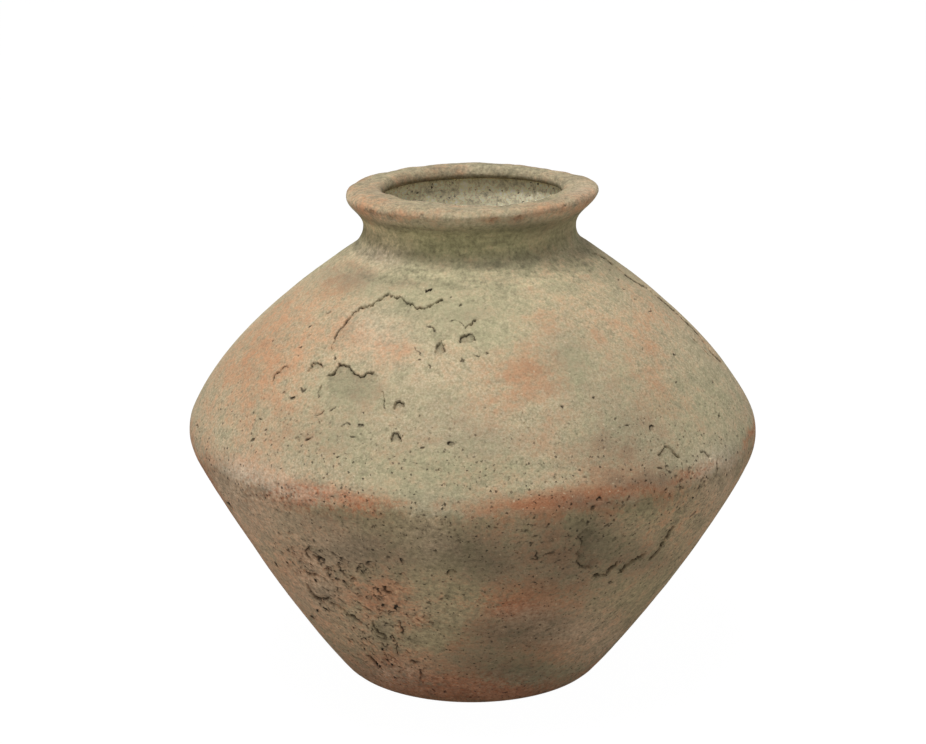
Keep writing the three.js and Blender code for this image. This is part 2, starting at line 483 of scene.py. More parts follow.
GREY_SCAR_SIDE = Flake(((319, 399), (318, 390), (322, 382)), drop=0.6, cut=0.5)
DIAMOND_FLAKE = Flake(
    ((306.4, 372), (310, 366.7), (314, 361.6), (321, 361.6), (325, 366)), drop=1.3, fade=5.0,
    grime=0.25)
SMALL_HOLLOWS = tuple(
    Flake(points, drop=1.5, fade=6.0, cut=0.7, gap=0.42, grime=0.5) for points in (
        ((432, 352), (435.5, 346.5), (440, 341), (443.5, 346), (447.5, 352)),
        ((461, 345), (460.5, 337.5), (464, 333.5), (470, 332.5), (475, 336), (476.5, 343)),
        ((393, 410), (392.5, 404), (395.5, 400.5), (401, 401), (403.5, 404), (403, 409)),
        ((391, 443.5), (390.5, 438), (393.5, 434), (399, 433), (402.5, 436.5), (402.5, 442)),
    ))
LEFT_FLAKE = Flake(((272, 381.4), (275, 374.4), (282, 367.4), (290, 365.3)), drop=0.8, fade=5.0)
NECK_SIDE_FLAKE = Flake(((465, 325), (471, 324), (474, 320), (477, 318.5)), drop=1.3, fade=4.0)
SMALL_LEDGE = Flake(((343, 424), (349, 422), (352, 425)), drop=0.5, fade=3.0, cut=0.4)
EAST_FLAKE = Flake(
    ((657, 456), (661, 451), (665.6, 446), (674, 453), (682.3, 461)), drop=1.2, fade=6.0)
EAST_EDGE_FLAKE = Flake(((700.6, 450.8), (706, 451), (711, 458.8)), drop=0.9, fade=5.0)
SKYLINE_EDGE = Flake(
    ((590, 254.6), (598, 256), (606, 260), (612.4, 265), (619, 270), (630, 279), (639, 285),
     (647, 289), (655, 296), (670, 307), (681, 317), (697, 332.5), (706, 344), (714, 355),
     (724, 365)), Recess.RIGHT, 0.9, 12.0, 0.3, 0.4)
SKYLINE_INNER_EDGE = Flake(
    ((690, 336), (698, 343), (708, 354), (716, 360)), Recess.RIGHT, 0.6, 5.0, 0.3, 0.4)

# Broken edges on the lower wall, likewise
HOLLOW_SCAR = Flake(
    ((305, 581), (306.4, 587), (309.5, 592), (314, 597.4), (319.7, 600.6), (326, 600.6),
     (334, 600)), Recess.LEFT, 1.6, 6.0, 1.2, 0.5, 0.3)
SLANTING_SCAR = Flake(
    ((327.4, 602.5), (333.8, 605), (340.8, 610), (349, 616), (358, 620.4), (363, 625.5)),
    Recess.LEFT, 1.2, 5.0, 1.1, 0.5, 0.2)
GREEN_SCAR = Flake(
    ((370, 619), (373.3, 628), (378.4, 633.5), (386, 638)), Recess.LEFT, 1.5, 9.0, 1.1, 0.55,
    0.2)
SOUTH_FLAKE_SIDE = Flake(
    ((591, 525.8), (584, 531), (578, 536), (582, 540.5), (579.7, 548.3), (576.3, 552.7),
     (576.3, 564), (582.3, 568), (592.7, 569)), Recess.LEFT, 1.1, 9.0, 0.7, 0.34, 0.3)
SOUTH_FLAKE_EDGES = tuple(
    Flake(points, Recess.LEFT, 1.4, 7.0, 1.1, 0.42) for points in (
        ((592, 577.5), (605.7, 575.2), (611, 571), (617, 565.7), (618.5, 560)),
        ((616, 572), (623, 571), (625.7, 567.4), (631, 562.2), (639.5, 558), (646, 554)),
        ((648.5, 561), (653.4, 557), (657, 554.4), (661.2, 548.3), (665.5, 540.5),
         (670, 535.3), (675.5, 523.5)),
    ))
SOUTH_WEST_CRESCENTS = tuple(
    Flake(points, side, 1.4, 4.0, 1.0, 0.5, 0.2) for side, points in (
        (Recess.LEFT, ((307, 545), (305.5, 551), (307, 557), (311.5, 560.5))),
        (Recess.LEFT, ((312, 555), (318, 559), (325, 563.5))),
        (Recess.LEFT, ((303, 571), (309, 574), (314, 576), (319.5, 575.5))),
        (Recess.RIGHT, ((325, 576), (325.5, 570.5), (330, 568.5), (334, 571))),
        (Recess.LEFT, ((336, 563), (338, 568), (343, 570.5))),
        (Recess.LEFT, ((349, 575), (351, 579.5), (357, 580))),
        (Recess.LEFT, ((383, 586), (385.5, 592), (391, 595))),
        (Recess.RIGHT, ((420.5, 680), (421, 671), (425, 667.5), (428, 670))),
        (Recess.LEFT, ((409, 661), (414, 663.5), (421, 662.5))),
        (Recess.LEFT, ((366, 655), (371, 660), (377.5, 664))),
        (Recess.RIGHT, ((447, 575), (448, 569.5), (453, 569), (456, 573))),
    ))
FLAKES = (
    PLAQUE_FOOT, PLAQUE_EDGE, GREY_SCAR_EDGE, GREY_SCAR_END, GREY_SCAR_SIDE, DIAMOND_FLAKE,
    *SMALL_HOLLOWS, LEFT_FLAKE, NECK_SIDE_FLAKE, SMALL_LEDGE, EAST_FLAKE, EAST_EDGE_FLAKE,
    SKYLINE_EDGE, SKYLINE_INNER_EDGE, HOLLOW_SCAR, SLANTING_SCAR, GREEN_SCAR,
    SOUTH_FLAKE_SIDE, *SOUTH_FLAKE_EDGES, *SOUTH_WEST_CRESCENTS,
)

# Open cracks, by pixels of the photograph
CRACKS = (
    Crack(((428, 322.7), (434.6, 328), (435, 332))),
    Crack(((414, 345.7), (418, 349.5), (420.5, 355.3)), 0.6),
    Crack(((306.4, 335.8), (310.6, 333.7))),
    Crack(((327, 313), (332, 309.5))),
    Crack(((316, 416), (321, 413.5), (325, 410))),
    Crack(((329, 411), (335, 406.5))),
    Crack(((304, 440), (311, 437.5))),
    Crack(((202, 457), (203, 462), (205, 467))),
    Crack(((717, 461), (718, 468), (717, 474)), 0.7),
    Crack(((451, 322), (459, 322), (464, 324)), 0.5),
    Crack(((356.7, 601), (363, 605.7), (370.8, 610.8)), 1.1),
    Crack(((306.4, 549), (314.6, 554), (323.6, 561))),
    Crack(((303, 566), (309.5, 570.6), (319.7, 576.4))),
    Crack(((343, 575), (348, 578))),
    Crack(((343, 636.5), (350, 640))),
    Crack(((358.6, 644.6), (365, 649))),
    Crack(((537, 551), (537, 559), (531, 560))),
    Crack(((398.8, 621.6), (401.4, 628), (402.7, 635.7)), 1.2),
    Crack(((396.3, 643), (395.6, 649.7), (397, 656)), 1.2),
    Crack(((371, 628), (378, 637), (386, 641)), 0.9),
)

# Pits, by pixels of the photograph: middle, width and height
PITS = (
    (427.6, 290.8, 6, 5), (451.8, 322, 4.5, 3), (460.7, 305, 4, 3), (477.3, 355.3, 6, 2.5),
    (463.3, 360.4, 4, 3), (420.5, 360.4, 3.5, 3), (430, 366.7, 3, 3), (423, 447, 4, 4),
    (451.8, 444.5, 5, 5), (360, 424.8, 6, 5), (450.5, 296.6, 3, 2),
    (486.9, 353.3, 2.5, 2), (364.4, 411.4, 4, 3), (338, 456.7, 3, 2.5),
    (297, 354.7, 3, 2), (301.5, 345, 3, 3), (310, 324.6, 3, 3), (271.3, 341, 3, 2),
    (336, 357, 4, 3), (302.9, 389.1, 6, 3), (293, 397.5, 6, 5),
    (262, 418.6, 3, 2), (253, 441, 4, 4), (265.7, 432, 3, 2), (300, 446, 3, 2),
    (618.8, 281.6, 5, 3),
    (610.8, 272, 3, 2), (624.3, 291, 3, 2), (635.5, 301.5, 3, 2), (651.3, 312.6, 6, 3),
    (674.4, 356.3, 4, 6), (652, 427.8, 5, 6), (628, 424, 4, 3), (713, 381.7, 3, 2.5),
    (677.6, 383, 3, 2.5), (720, 416.7, 3, 3), (593.4, 398.4, 3, 3), (563.5, 406.3, 5, 3),
    (632.3, 470.7, 4, 4), (660.9, 467.5, 4, 4), (670.4, 471.5, 4, 4),
    (677.6, 446, 3, 3), (696.6, 460.3, 3, 3), (353.6, 436.3, 5, 2.5),
    (197, 427, 3, 4),
    (317, 582, 5, 4), (365, 573.8, 5, 4), (375, 589, 4, 3),
    (374.6, 595.5, 4, 3), (385.4, 605.7, 5, 5), (379.7, 609.5, 4, 3), (397.6, 609, 5, 8),
    (402.7, 561, 6, 4), (388, 556.6, 4, 3), (435.8, 550.8, 4, 3),
    (430.7, 602.5, 4, 3), (443.5, 599.3, 4, 3), (432, 622.3, 4.5, 4.5), (327.4, 610, 5, 3),
    (319, 611.4, 4, 3), (314, 618.4, 4, 3), (378.4, 665, 5, 4),
    (383, 650, 5, 4), (389.3, 660.5, 5, 4), (393, 665, 4, 3), (400, 667, 4, 3),
    (398, 678.4, 5, 3), (444.7, 692.4, 4, 3),
    (434.5, 690.5, 3, 2.5), (231, 506, 4, 4), (531.3, 542.8, 4, 4), (534.4, 535.5, 5, 3),
    (551, 553, 6, 3), (533.8, 518, 4, 3), (549.7, 524, 3, 3), (593.8, 508.7, 8, 4),
    (600.8, 499.8, 6, 6), (588, 522, 4, 3), (608, 524.6, 4, 3), (613.5, 520.8, 3, 3),
    (609.7, 583, 4, 3), (540, 494.7, 3, 3), (665.8, 489.6, 3, 3), (647, 482, 3, 3),
    (693, 514.4, 4, 3), (618.6, 573, 3, 2.5), (366, 640, 5, 4), (355, 628, 4, 3),
    (392.4, 638, 5, 4),
)

# Chips out of the lip: angle in degrees from +X, station, half width and half height
LIP_CHIPS = (
    (-80.5, 391.5, 3.0, 2.2), (-69.5, 391.0, 3.2, 2.2), (-112.0, 394.5, 2.2, 1.6),
    (-127.0, 391.5, 2.6, 1.8), (-140.0, 393.0, 3.2, 1.5), (-98.0, 399.0, 1.3, 1.0),
    (-28.0, 392.0, 3.0, 2.2), (-45.0, 395.0, 1.6, 1.1), (-60.0, 401.0, 1.2, 0.9),
    (-152.0, 400.0, 1.6, 1.2), (132.0, 402.0, 1.8, 1.4), (95.0, 404.0, 1.2, 1.1),
    (70.0, 394.0, 3.0, 2.0), (20.0, 392.5, 2.6, 1.8), (160.0, 392.0, 3.0, 2.0),
)

# Patches of small pits, by pixels of the photograph
PIT_FIELDS = tuple(MarkField(*values) for values in (
    (300, 556, 28, 22, 32, 2.6), (345, 580, 36, 30, 60, 3.2), (385, 642, 34, 32, 50, 3.0),
    (400, 600, 30, 30, 28, 2.6), (480, 600, 90, 60, 50, 1.2), (600, 530, 50, 36, 30, 1.6),
    (692, 485, 26, 24, 34, 1.9), (620, 595, 40, 40, 16, 1.0), (430, 450, 90, 36, 20, 0.9),
    (640, 440, 50, 36, 8, 0.9), (300, 430, 60, 40, 18, 1.1), (430, 530, 110, 20, 40, 1.1),
    (560, 485, 90, 14, 10, 1.0), (300, 500, 60, 20, 18, 1.0),
))

# Where short slits slant down to the right: middle, half width and height, and count
SLIT_FIELDS = tuple(MarkField(*values) for values in (
    (312, 560, 20, 15, 9), (352, 588, 36, 22, 16), (384, 642, 32, 28, 26), (346, 636, 22, 18, 7),
))

# Soft patches of colour, by pixels of the photograph: middle, half width and height, strength
RUST_STAINS = (
    (250, 360, 55, 75, 0.62), (300, 330, 40, 35, 0.42), (290, 400, 35, 30, 0.2),
    (350, 322, 20, 16, 0.4), (375, 342, 42, 26, 0.5), (398, 352, 12, 10, 0.5),
    (255, 440, 50, 25, 0.12), (295, 492, 45, 12, 0.9), (345, 503, 42, 9, 0.95),
    (242, 472, 25, 14, 0.5), (385, 508, 28, 8, 0.5), (520, 506, 34, 8, 0.6),
    (565, 501, 45, 10, 0.75), (610, 495, 40, 11, 0.7), (648, 488, 30, 10, 0.6),
    (530, 375, 28, 25, 0.8), (552, 305, 25, 16, 0.15), (508, 392, 28, 28, 0.3),
    (603, 318, 30, 20, 0.15), (645, 355, 30, 38, 0.45), (655, 400, 25, 24, 0.5),
    (610, 335, 25, 18, 0.3), (540, 322, 22, 13, 0.25), (622, 455, 32, 22, 0.4),
    (560, 440, 28, 25, 0.2), (478, 402, 30, 18, 0.25), (672, 308, 28, 14, 0.2),
    (355, 262, 22, 9, 0.4), (340, 290, 30, 14, 0.5), (470, 256, 28, 11, 0.3),
    (395, 213, 36, 7, 0.6), (492, 221, 9, 4, 0.9), (517, 220, 9, 4, 0.8),
    (437, 169, 13, 5, 0.7), (458, 171, 7, 5, 0.7), (402, 178, 14, 6, 0.6),
    (586, 200, 12, 9, 0.6), (360, 205, 15, 12, 0.6), (550, 211, 40, 7, 0.45),
    (423, 626, 10, 8, 0.75), (390, 598, 24, 18, 0.3), (512, 610, 46, 19, 0.75),
    (540, 590, 30, 10, 0.4), (545, 648, 34, 12, 0.35), (450, 640, 20, 11, 0.4),
    (300, 575, 24, 28, 0.4), (360, 600, 38, 22, 0.35), (470, 690, 110, 15, 0.8),
    (380, 668, 50, 18, 0.5), (397, 631, 7, 9, 0.45), (367, 607, 17, 9, 0.3),
    (390, 661, 17, 7, 0.4),
    (250, 520, 20, 25, 0.2), (490, 476, 45, 15, 0.55), (610, 470, 40, 12, 0.45),
    (500, 682, 50, 13, 0.7), (412, 682, 30, 9, 0.6), (570, 556, 50, 18, 0.3),
    (318, 497, 34, 8, 0.7),
)
MOSS_STAINS = (
    (440, 306, 60, 34, 0.6), (500, 330, 30, 25, 0.5), (470, 470, 80, 18, 0.5),
    (330, 440, 48, 24, 0.35), (352, 390, 34, 20, 0.6), (576, 367, 17, 24, 0.6),
    (620, 372, 14, 20, 0.4), (702, 420, 42, 50, 0.5), (470, 245, 105, 24, 0.7),
    (410, 470, 42, 22, 0.5), (600, 430, 40, 20, 0.3), (326, 511, 30, 9, 0.5),
    (417, 520, 38, 18, 0.5), (382, 627, 9, 9, 0.95), (427, 638, 22, 9, 0.85),
    (351, 611, 10, 7, 0.7),
    (430, 560, 30, 24, 0.5), (440, 590, 30, 18, 0.3), (576, 525, 14, 11, 0.7),
    (636, 507, 25, 13, 0.5), (527, 674, 45, 11, 0.5), (450, 620, 24, 14, 0.4),
    (600, 545, 20, 12, 0.5), (660, 600, 38, 38, 0.3), (396, 170, 40, 9, 0.4),
    (520, 168, 60, 7, 0.4), (470, 600, 20, 14, 0.2), (410, 290, 60, 12, 0.3),
    (565, 288, 60, 26, 0.35),
)
ASH_STAINS = (
    (484, 562, 30, 20, 0.55), (448, 547, 28, 16, 0.45), (514, 632, 48, 16, 0.65),
    (545, 625, 34, 12, 0.35), (348, 550, 36, 15, 0.7), (400, 560, 28, 18, 0.25),
    (480, 224, 90, 5, 0.3), (630, 455, 50, 24, 0.45), (530, 372, 26, 24, 0.25),
    (595, 502, 45, 7, 0.35), (460, 430, 110, 70, 0.2), (480, 208, 75, 7, 0.3),
    (480, 440, 44, 18, 0.4), (382, 628, 8, 7, 0.4),
    (310, 520, 40, 9, 0.3), (602, 542, 26, 22, 0.25), (586, 532, 11, 13, 0.3),
    (520, 672, 40, 11, 0.4), (350, 392, 34, 20, 0.35), (340, 440, 34, 18, 0.3),
    (480, 660, 42, 14, 0.35), (222, 482, 20, 15, 0.35), (730, 460, 15, 25, 0.3),
    (650, 482, 36, 10, 0.3), (594, 388, 42, 44, 0.4), (321, 591, 12, 8, 0.65),
    (640, 560, 30, 14, 0.3), (558, 562, 48, 40, 0.5), (630, 430, 25, 18, 0.3),
    (460, 285, 60, 12, 0.25), (440, 415, 34, 30, 0.25), (605, 460, 50, 20, 0.35),
    (560, 242, 32, 14, 0.35), (402, 252, 26, 6, 0.5), (455, 262, 40, 7, 0.35),
    # The patch at 356, 274 is painted shade along the edge of the lip's shadow.
    (440, 235, 34, 9, 0.25), (356, 274, 40, 20, 0.7), (565, 350, 22, 22, 0.4),
    # The patch at 530, 229 is painted shade on the neck under the lip.
    (462, 315, 28, 12, 0.45), (530, 229, 36, 13, 0.5),
    (640, 412, 40, 34, 0.3), (300, 430, 40, 22, 0.25),
)
DUST_STAINS = (
    # The patch at 386, 249 is painted light on the left of the neck.
    (382, 335, 34, 26, 0.4), (366, 318, 18, 12, 0.25), (386, 249, 22, 12, 0.9),
    (385, 226, 16, 10, 0.4),
    (425, 530, 26, 26, 0.3), (470, 170, 90, 8, 0.3), (395, 672, 34, 14, 0.35),
    (370, 620, 60, 40, 0.2), (480, 690, 100, 14, 0.15), (255, 505, 42, 40, 0.5),
    (234, 483, 20, 16, 0.75), (310, 585, 26, 32, 0.4),
    (515, 612, 45, 12, 0.15), (592, 640, 40, 20, 0.4), (325, 540, 40, 26, 0.2),
    (310, 492, 50, 9, 0.2), (582, 192, 14, 9, 0.6), (715, 472, 20, 32, 0.4),
)
STAINS = {
    name: tuple(Stain(*values) for values in rows)
    for name, rows in (("rust", RUST_STAINS), ("moss", MOSS_STAINS), ("ash", ASH_STAINS),
                       ("dust", DUST_STAINS))
}


@dataclass(frozen=True)
class EdgeShape:
    """How a flake lies beside its line, in millimetres towards its scar and in shares. Its slot is
    darkened with soot and painted shadow, and its curl gets a painted highlight.
    """

    step_start: float = -0.15
    step_width: float = 0.5
    slot_place: float = 0.6
    slot_rough: float = 0.5
    slot_range: Pair = (0.4, 1.8)
    curl_place: float = -0.9
    curl_width: float = 0.6
    curl_rise: float = 0.2
    curl_highlight: float = 0.5
    floor_rough: float = 0.12
    soot: float = 0.8
    soot_swing: float = 0.9
    soot_range: Pair = (0.2, 1.0)
    taper: float = 3.5
    taper_share: float = 0.12
    reach: float = 2.4
    margin: float = 3.0
    finest_place: float = 0.2


@dataclass(frozen=True)
class SlitShape:
    """How a crack's slot and its lit edge lie about its line, in millimetres and in shares."""

    reach: float = 6.0
    taper_start: float = -1.0
    taper: float = 2.5
    width: float = 0.5
    rough: float = 0.18
    width_range: Pair = (0.25, 0.9)
    depth: float = 1.2
    lit_place: float = 1.0
    lit_width: float = 0.5
    lit_pale: float = 0.55


@dataclass(frozen=True)
class PitShape:
    """How a pit's wall, floor and edges follow from its size, in millimetres and in shares. Its upper
    left edge is a painted shadow and its lower right edge a painted highlight.
    """

    least: float = 0.5
    reach: float = 1.4
    margin: float = 4.0
    lobes: tuple[Pair, ...] = ((2.0, 0.14), (3.0, 0.13), (5.0, 0.07))
    light_up: float = 0.75
    light_left: float = 0.5
    wall: float = 0.55
    widest_wall: float = 0.7
    line: float = 0.28
    line_growth: float = 0.17
    widest_line: float = 0.9
    tiny: float = 0.8
    tiny_band: float = 1.2
    rim_place: float = 0.9
    rim_mean: float = 0.4
    rim_swing: float = 0.8
    rim_dark: float = 1.2
    tiny_rim: float = 0.5
    far_place: float = 0.4
    far_width: float = 0.55
    far_swing: float = 1.1
    tiny_far: float = 0.6
    depth: float = 0.42
    shallowest: float = 0.7
    deepest: float = 2.0
    tilt: float = 0.25
    floor_dark: float = 0.08
    tiny_dark: float = 0.32
    fine_reach: float = 3.0


@dataclass
class SkinMap:
    """Relief, dirt with painted shade and highlights, and wanted mesh size over the outer skin, by
    angle and station.

    The grid has one column for each small step of angle and one row for each small step of
    station. Depth is counted into the clay. Dirt above 0 is soot and painted shadow, below 0 a
    painted highlight along an edge.
    """

    skin: Skin
    seed: int
    columns = 3800
    step = 0.3
    finest = 0.32
    coarsest = 3.4
    growth = 0.7
    bump_share = 2.5
    frets = ((4.5, 0.5), (1.6, 0.22))
    ragged_size = 2.0
    drawn_size = 34.0
    crease_rise = 4.0
    crease_reach = 9.0
    crease_size = 2.2
    least_radius = 20.0
    faint = 0.05
    edge = EdgeShape()
    slit = SlitShape()
    pit = PitShape()

    def __post_init__(self) -> None:
        """Start with a sound skin."""
        skin = self.skin
        self.random = np.random.default_rng(self.seed)
        self.rows = int(skin.end / self.step) + 2
        self.stations = np.arange(self.rows) * self.step
        self.radii = skin.place(self.stations)[:, 0]
        shape = (self.rows, self.columns)
        self.depth = np.zeros(shape, np.float32)
        self.dirt = np.zeros(shape, np.float32)
        self.size = np.full(shape, self.coarsest, np.float32)
        self.wander_across = self._fret()
        self.wander_up = self._fret()
        self.ragged = self.noise(self.ragged_size)
        self.drawn = self.noise(self.drawn_size)
        self._ask_finer_crease()

    def noise(self, size: float) -> Array:
        """Make smooth noise that joins up round the urn.

        Args:
            size: The width of its bumps in millimetres at the belly.

        Returns:
            A grid of numbers with a spread of about 1 round 0.
        """
        across = 2.0 * math.pi * self.skin.form.belly_radius / self.columns
        grain = self.random.standard_normal((self.rows, self.columns))
        waves = np.fft.rfft2(grain)
        up = np.fft.fftfreq(self.rows)[:, None] / self.step
        along = np.fft.rfftfreq(self.columns)[None, :] / across
        spread = 2.0 * math.pi * size / self.bump_share
        waves *= np.exp(-0.5 * (up ** 2 + along ** 2) * spread ** 2)
        smooth_grain = np.fft.irfft2(waves, s=(self.rows, self.columns))
        return (smooth_grain / smooth_grain.std()).astype(np.float32)

    def _fret(self) -> Array:
        """Make the small drift, in millimetres, that frets the edge of every mark."""
        return sum(width * self.noise(size) for size, width in self.frets)

    def _ask_finer_crease(self) -> None:
        """Ask for a mesh that can show the edge of the burnt colour below the belly."""
        away = np.abs(self.stations - self.skin.belly_seam - self.crease_rise)
        self.size[away < self.crease_reach] = self.crease_size

    def radius_at(self, station: float) -> float:
        """Return the radius of the outer skin at a station."""
        return float(np.interp(station, self.stations, self.radii))

    def window(self, places: Array, reach: float) -> tuple:
        """Cut out the part of the grid round some places.

        Args:
            places: Angle and station of each, one row each, with no jump in angle.
            reach: How far to go past them, in millimetres.

        Returns:
            The grid index, the distances across and up from the first place, and the places
            as such distances.
        """
        low = max(0, int((places[:, 1].min() - reach) / self.step))
        high = min(self.rows, int((places[:, 1].max() + reach) / self.step) + 2)
        turn = 2.0 * math.pi / self.columns
        swing = reach / max(self.least_radius, self.radii[low:high].min())
        first = int((places[:, 0].min() - swing) / turn)
        last = int((places[:, 0].max() + swing) / turn) + 1
        angles = np.arange(first, last) * turn - places[0, 0]
        index = np.ix_(np.arange(low, high), np.arange(first, last) % self.columns)
        across = angles[None, :] * self.radii[low:high, None]
        up = (self.stations[low:high] - places[0, 1])[:, None] + np.zeros_like(across)
        radii = np.interp(places[:, 1], self.stations, self.radii)
        marks = np.column_stack([
            (places[:, 0] - places[0, 0]) * radii,
            places[:, 1] - places[0, 1],
        ])
        return index, across + self.wander_across[index], up + self.wander_up[index], marks

    @staticmethod
    def line_field(across: Array, up: Array, marks: Array) -> tuple:
        """Measure how points lie about a broken line.

        Args:
            across: Distance of each point across.
            up: Distance of each point up.
            marks: The line's points, across and up.

        Returns:
            The distance from the line, positive on its right, and the share of the line's
            length at the nearest point with its distance from the nearer end.
        """
        best = np.full(across.shape, np.inf)
        signed = np.zeros(across.shape)
        along = np.zeros(across.shape)
        walked = 0.0
        for start, end in zip(marks, marks[1:]):
            way = end - start
            length = float(np.hypot(*way)) + 1e-6
            way = way / length
            right = (across - start[0]) * way[1] - (up - start[1]) * way[0]
            share = np.clip((across - start[0]) * way[0] + (up - start[1]) * way[1], 0.0, length)
            away = np.hypot(across - start[0] - way[0] * share, up - start[1] - way[1] * share)
            nearer = away < best
            best = np.where(nearer, away, best)
            signed = np.where(nearer, np.where(right < 0.0, -away, away), signed)
            along = np.where(nearer, walked + share, along)
            walked += length
        return signed, along, np.minimum(along, walked - along)

    def add_flake(self, places: Array, flake: Flake, coarser: float = 1.0) -> None:
        """Break an edge into the skin, with a scar on one side that fades away from it.

        Args:
            places: The edge's points as angle and station.
            flake: Its side, drop, fade and cut.
            coarser: How much coarser than the finest its mesh may be.
        """
        edge = self.edge
        index, across, up, marks = self.window(places, flake.fade * edge.reach + edge.margin)
        signed, along, inward = self.line_field(across, up, marks)
        away = signed * flake.side.value
        ends = smooth(inward, 0.0, min(edge.taper, edge.taper_share * along.max()))
        ragged = self.ragged[index]
        scar = smooth(away, edge.step_start, edge.step_width)
        scar *= np.exp(-np.maximum(away, 0.0) / flake.fade)
        width = flake.gap * np.clip(1.0 + edge.slot_rough * ragged, *edge.slot_range)
        slot = bell(away, edge.slot_place * width, width)
        curl = bell(away, edge.curl_place, edge.curl_width)
        rise = edge.curl_rise * flake.drop * curl
        depth = (flake.drop * scar + flake.cut * slot - rise) * ends
        depth += edge.floor_rough * ragged * scar * ends
        # The slot is darkened with soot and painted shadow, and the pale line along the curl is a
        # painted highlight.
        soot = edge.soot + edge.soot_swing * self.wander_across[index]
        dark = np.maximum(slot * np.clip(soot, *edge.soot_range), flake.grime * scar)
        dirt = (dark - edge.curl_highlight * curl) * ends
        gap = np.abs(away - edge.finest_place)
        self._press(index, depth, dirt, gap, ends > self.faint, coarser)

    def add_crack(self, places: Array, crack: Crack) -> None:
        """Open a crack in the skin.

        Args:
            places: Its points as angle and station.
            crack: Its cut.
        """
        slit = self.slit
        index, across, up, marks = self.window(places, slit.reach)
        signed, _, inward = self.line_field(across, up, marks)
        ends = smooth(inward, slit.taper_start, slit.taper)
        width = np.clip(slit.width + slit.rough * self.ragged[index], *slit.width_range)
        # The slot is darkened with soot and painted shade, and its lit side gets a painted highlight.
        slot = bell(signed, 0.0, crack.cut * width) * ends
        lit = bell(signed, slit.lit_place, slit.lit_width) * ends
        depth = crack.cut * slot * slit.depth
        self._press(index, depth, slot - slit.lit_pale * lit, np.abs(signed), ends > self.faint)

    def add_pit(self, places: Array, coarser: float = 1.0, soot: float = 1.0) -> None:
        """Sink a ragged pit with a painted shadow along its upper left edge and a painted highlight
        opposite.

        Args:
            places: Its middle, right edge and top edge as angle and station.
            coarser: How much coarser than the finest its mesh may be.
            soot: How dark the painted shadow at its edge and the dirt in it are.
        """
        pit = self.pit
        radius = self.radius_at(places[0, 1])
        half_width = max(pit.least, abs(places[1, 0] - places[0, 0]) * radius)
        half_height = max(pit.least, abs(places[2, 1] - places[0, 1]))
        least = min(half_width, half_height)
        reach = max(half_width, half_height) * pit.reach + pit.margin
        index, across, up, _ = self.window(places[:1], reach)
        across, up = across / half_width, up / half_height
        gap = (np.hypot(across, up) / self._pit_shape(np.arctan2(up, across)) - 1.0) * least
        side = np.clip(pit.light_up * up - pit.light_left * across, -1.0, 1.0)
        wall = min(pit.wall * least, pit.widest_wall)
        bowl = 1.0 - smooth(gap, -wall, wall)
        line = min(pit.widest_line, pit.line + pit.line_growth * least)
        tiny = 1.0 - smooth(least, pit.tiny, pit.tiny_band)
        # The rim is a painted shadow along the pit's upper left edge and far a painted highlight
        # along its lower right; the floor is darkened with dirt and painted shade, more in tiny pits.
        rim = bell(gap, -pit.rim_place * line, line)
        rim *= np.clip(pit.rim_mean + pit.rim_swing * side, 0.0, 1.0)
        rim *= 1.0 - pit.tiny_rim * tiny
        far = bell(gap, pit.far_place, pit.far_width) * np.clip(-pit.far_swing * side, 0.0, 1.0)
        deep = min(pit.deepest, max(pit.shallowest, pit.depth * least)) * bowl
        deep *= 1.0 - pit.tilt + pit.tilt * np.clip(up, -1.0, 1.0)
        floor = bowl * (pit.floor_dark + pit.tiny_dark * tiny * soot)
        dirt = np.maximum(pit.rim_dark * rim, floor) * soot
        dirt -= far * (1.0 - pit.tiny_far * tiny)
        near = gap < pit.fine_reach * least
        self._press(index, deep, dirt, np.maximum(0.0, gap), near, coarser)

    def _pit_shape(self, turn: Array) -> Array:
        """Return how far a pit's uneven edge reaches in directions from its middle."""
        starts = self.random.uniform(0.0, 2.0 * math.pi, len(self.pit.lobes))
        waves = (height * np.cos(count * turn + start)
                 for (count, height), start in zip(self.pit.lobes, starts))
        return sum(waves, start=1.0)

    def _press(self, index: tuple, depth: Array, dirt: Array, gap: Array,
               near: Array, coarser: float = 1.0) -> None:
        """Add one mark's depth, and its dirt with painted shade and highlights, to the grid, and ask
        for a finer mesh near it.
        """
        held = self.depth[index]
        self.depth[index] = np.where(depth > 0.0, np.maximum(held, depth), held + depth)
        lies = self.dirt[index]
        self.dirt[index] = np.where(np.abs(dirt) > np.abs(lies), dirt, lies)
        wanted = (self.finest + self.growth * gap) * coarser
        wanted = np.where(near, wanted, self.coarsest)
        self.size[index] = np.minimum(self.size[index], wanted)

    def read(self, grid: Array, angle: Array, station: Array) -> Array:
        """Read a grid between its points.

        Args:
            grid: The depth, dirt or size grid.
            angle: Angles in radians.
            station: Stations in millimetres.

        Returns:
            The grid's value at each place.
        """
        column = np.mod(angle / (2.0 * math.pi) * self.columns, self.columns)
        row = np.clip(station / self.step, 0.0, self.rows - 1.001)
        left, low = np.floor(column).astype(int), np.floor(row).astype(int)
        over, above = column - left, row - low
        left = left % self.columns
        right = (left + 1) % self.columns
        bottom = grid[low, left] * (1.0 - over) + grid[low, right] * over
        top = grid[low + 1, left] * (1.0 - over) + grid[low + 1, right] * over
        return bottom * (1.0 - above) + top * above


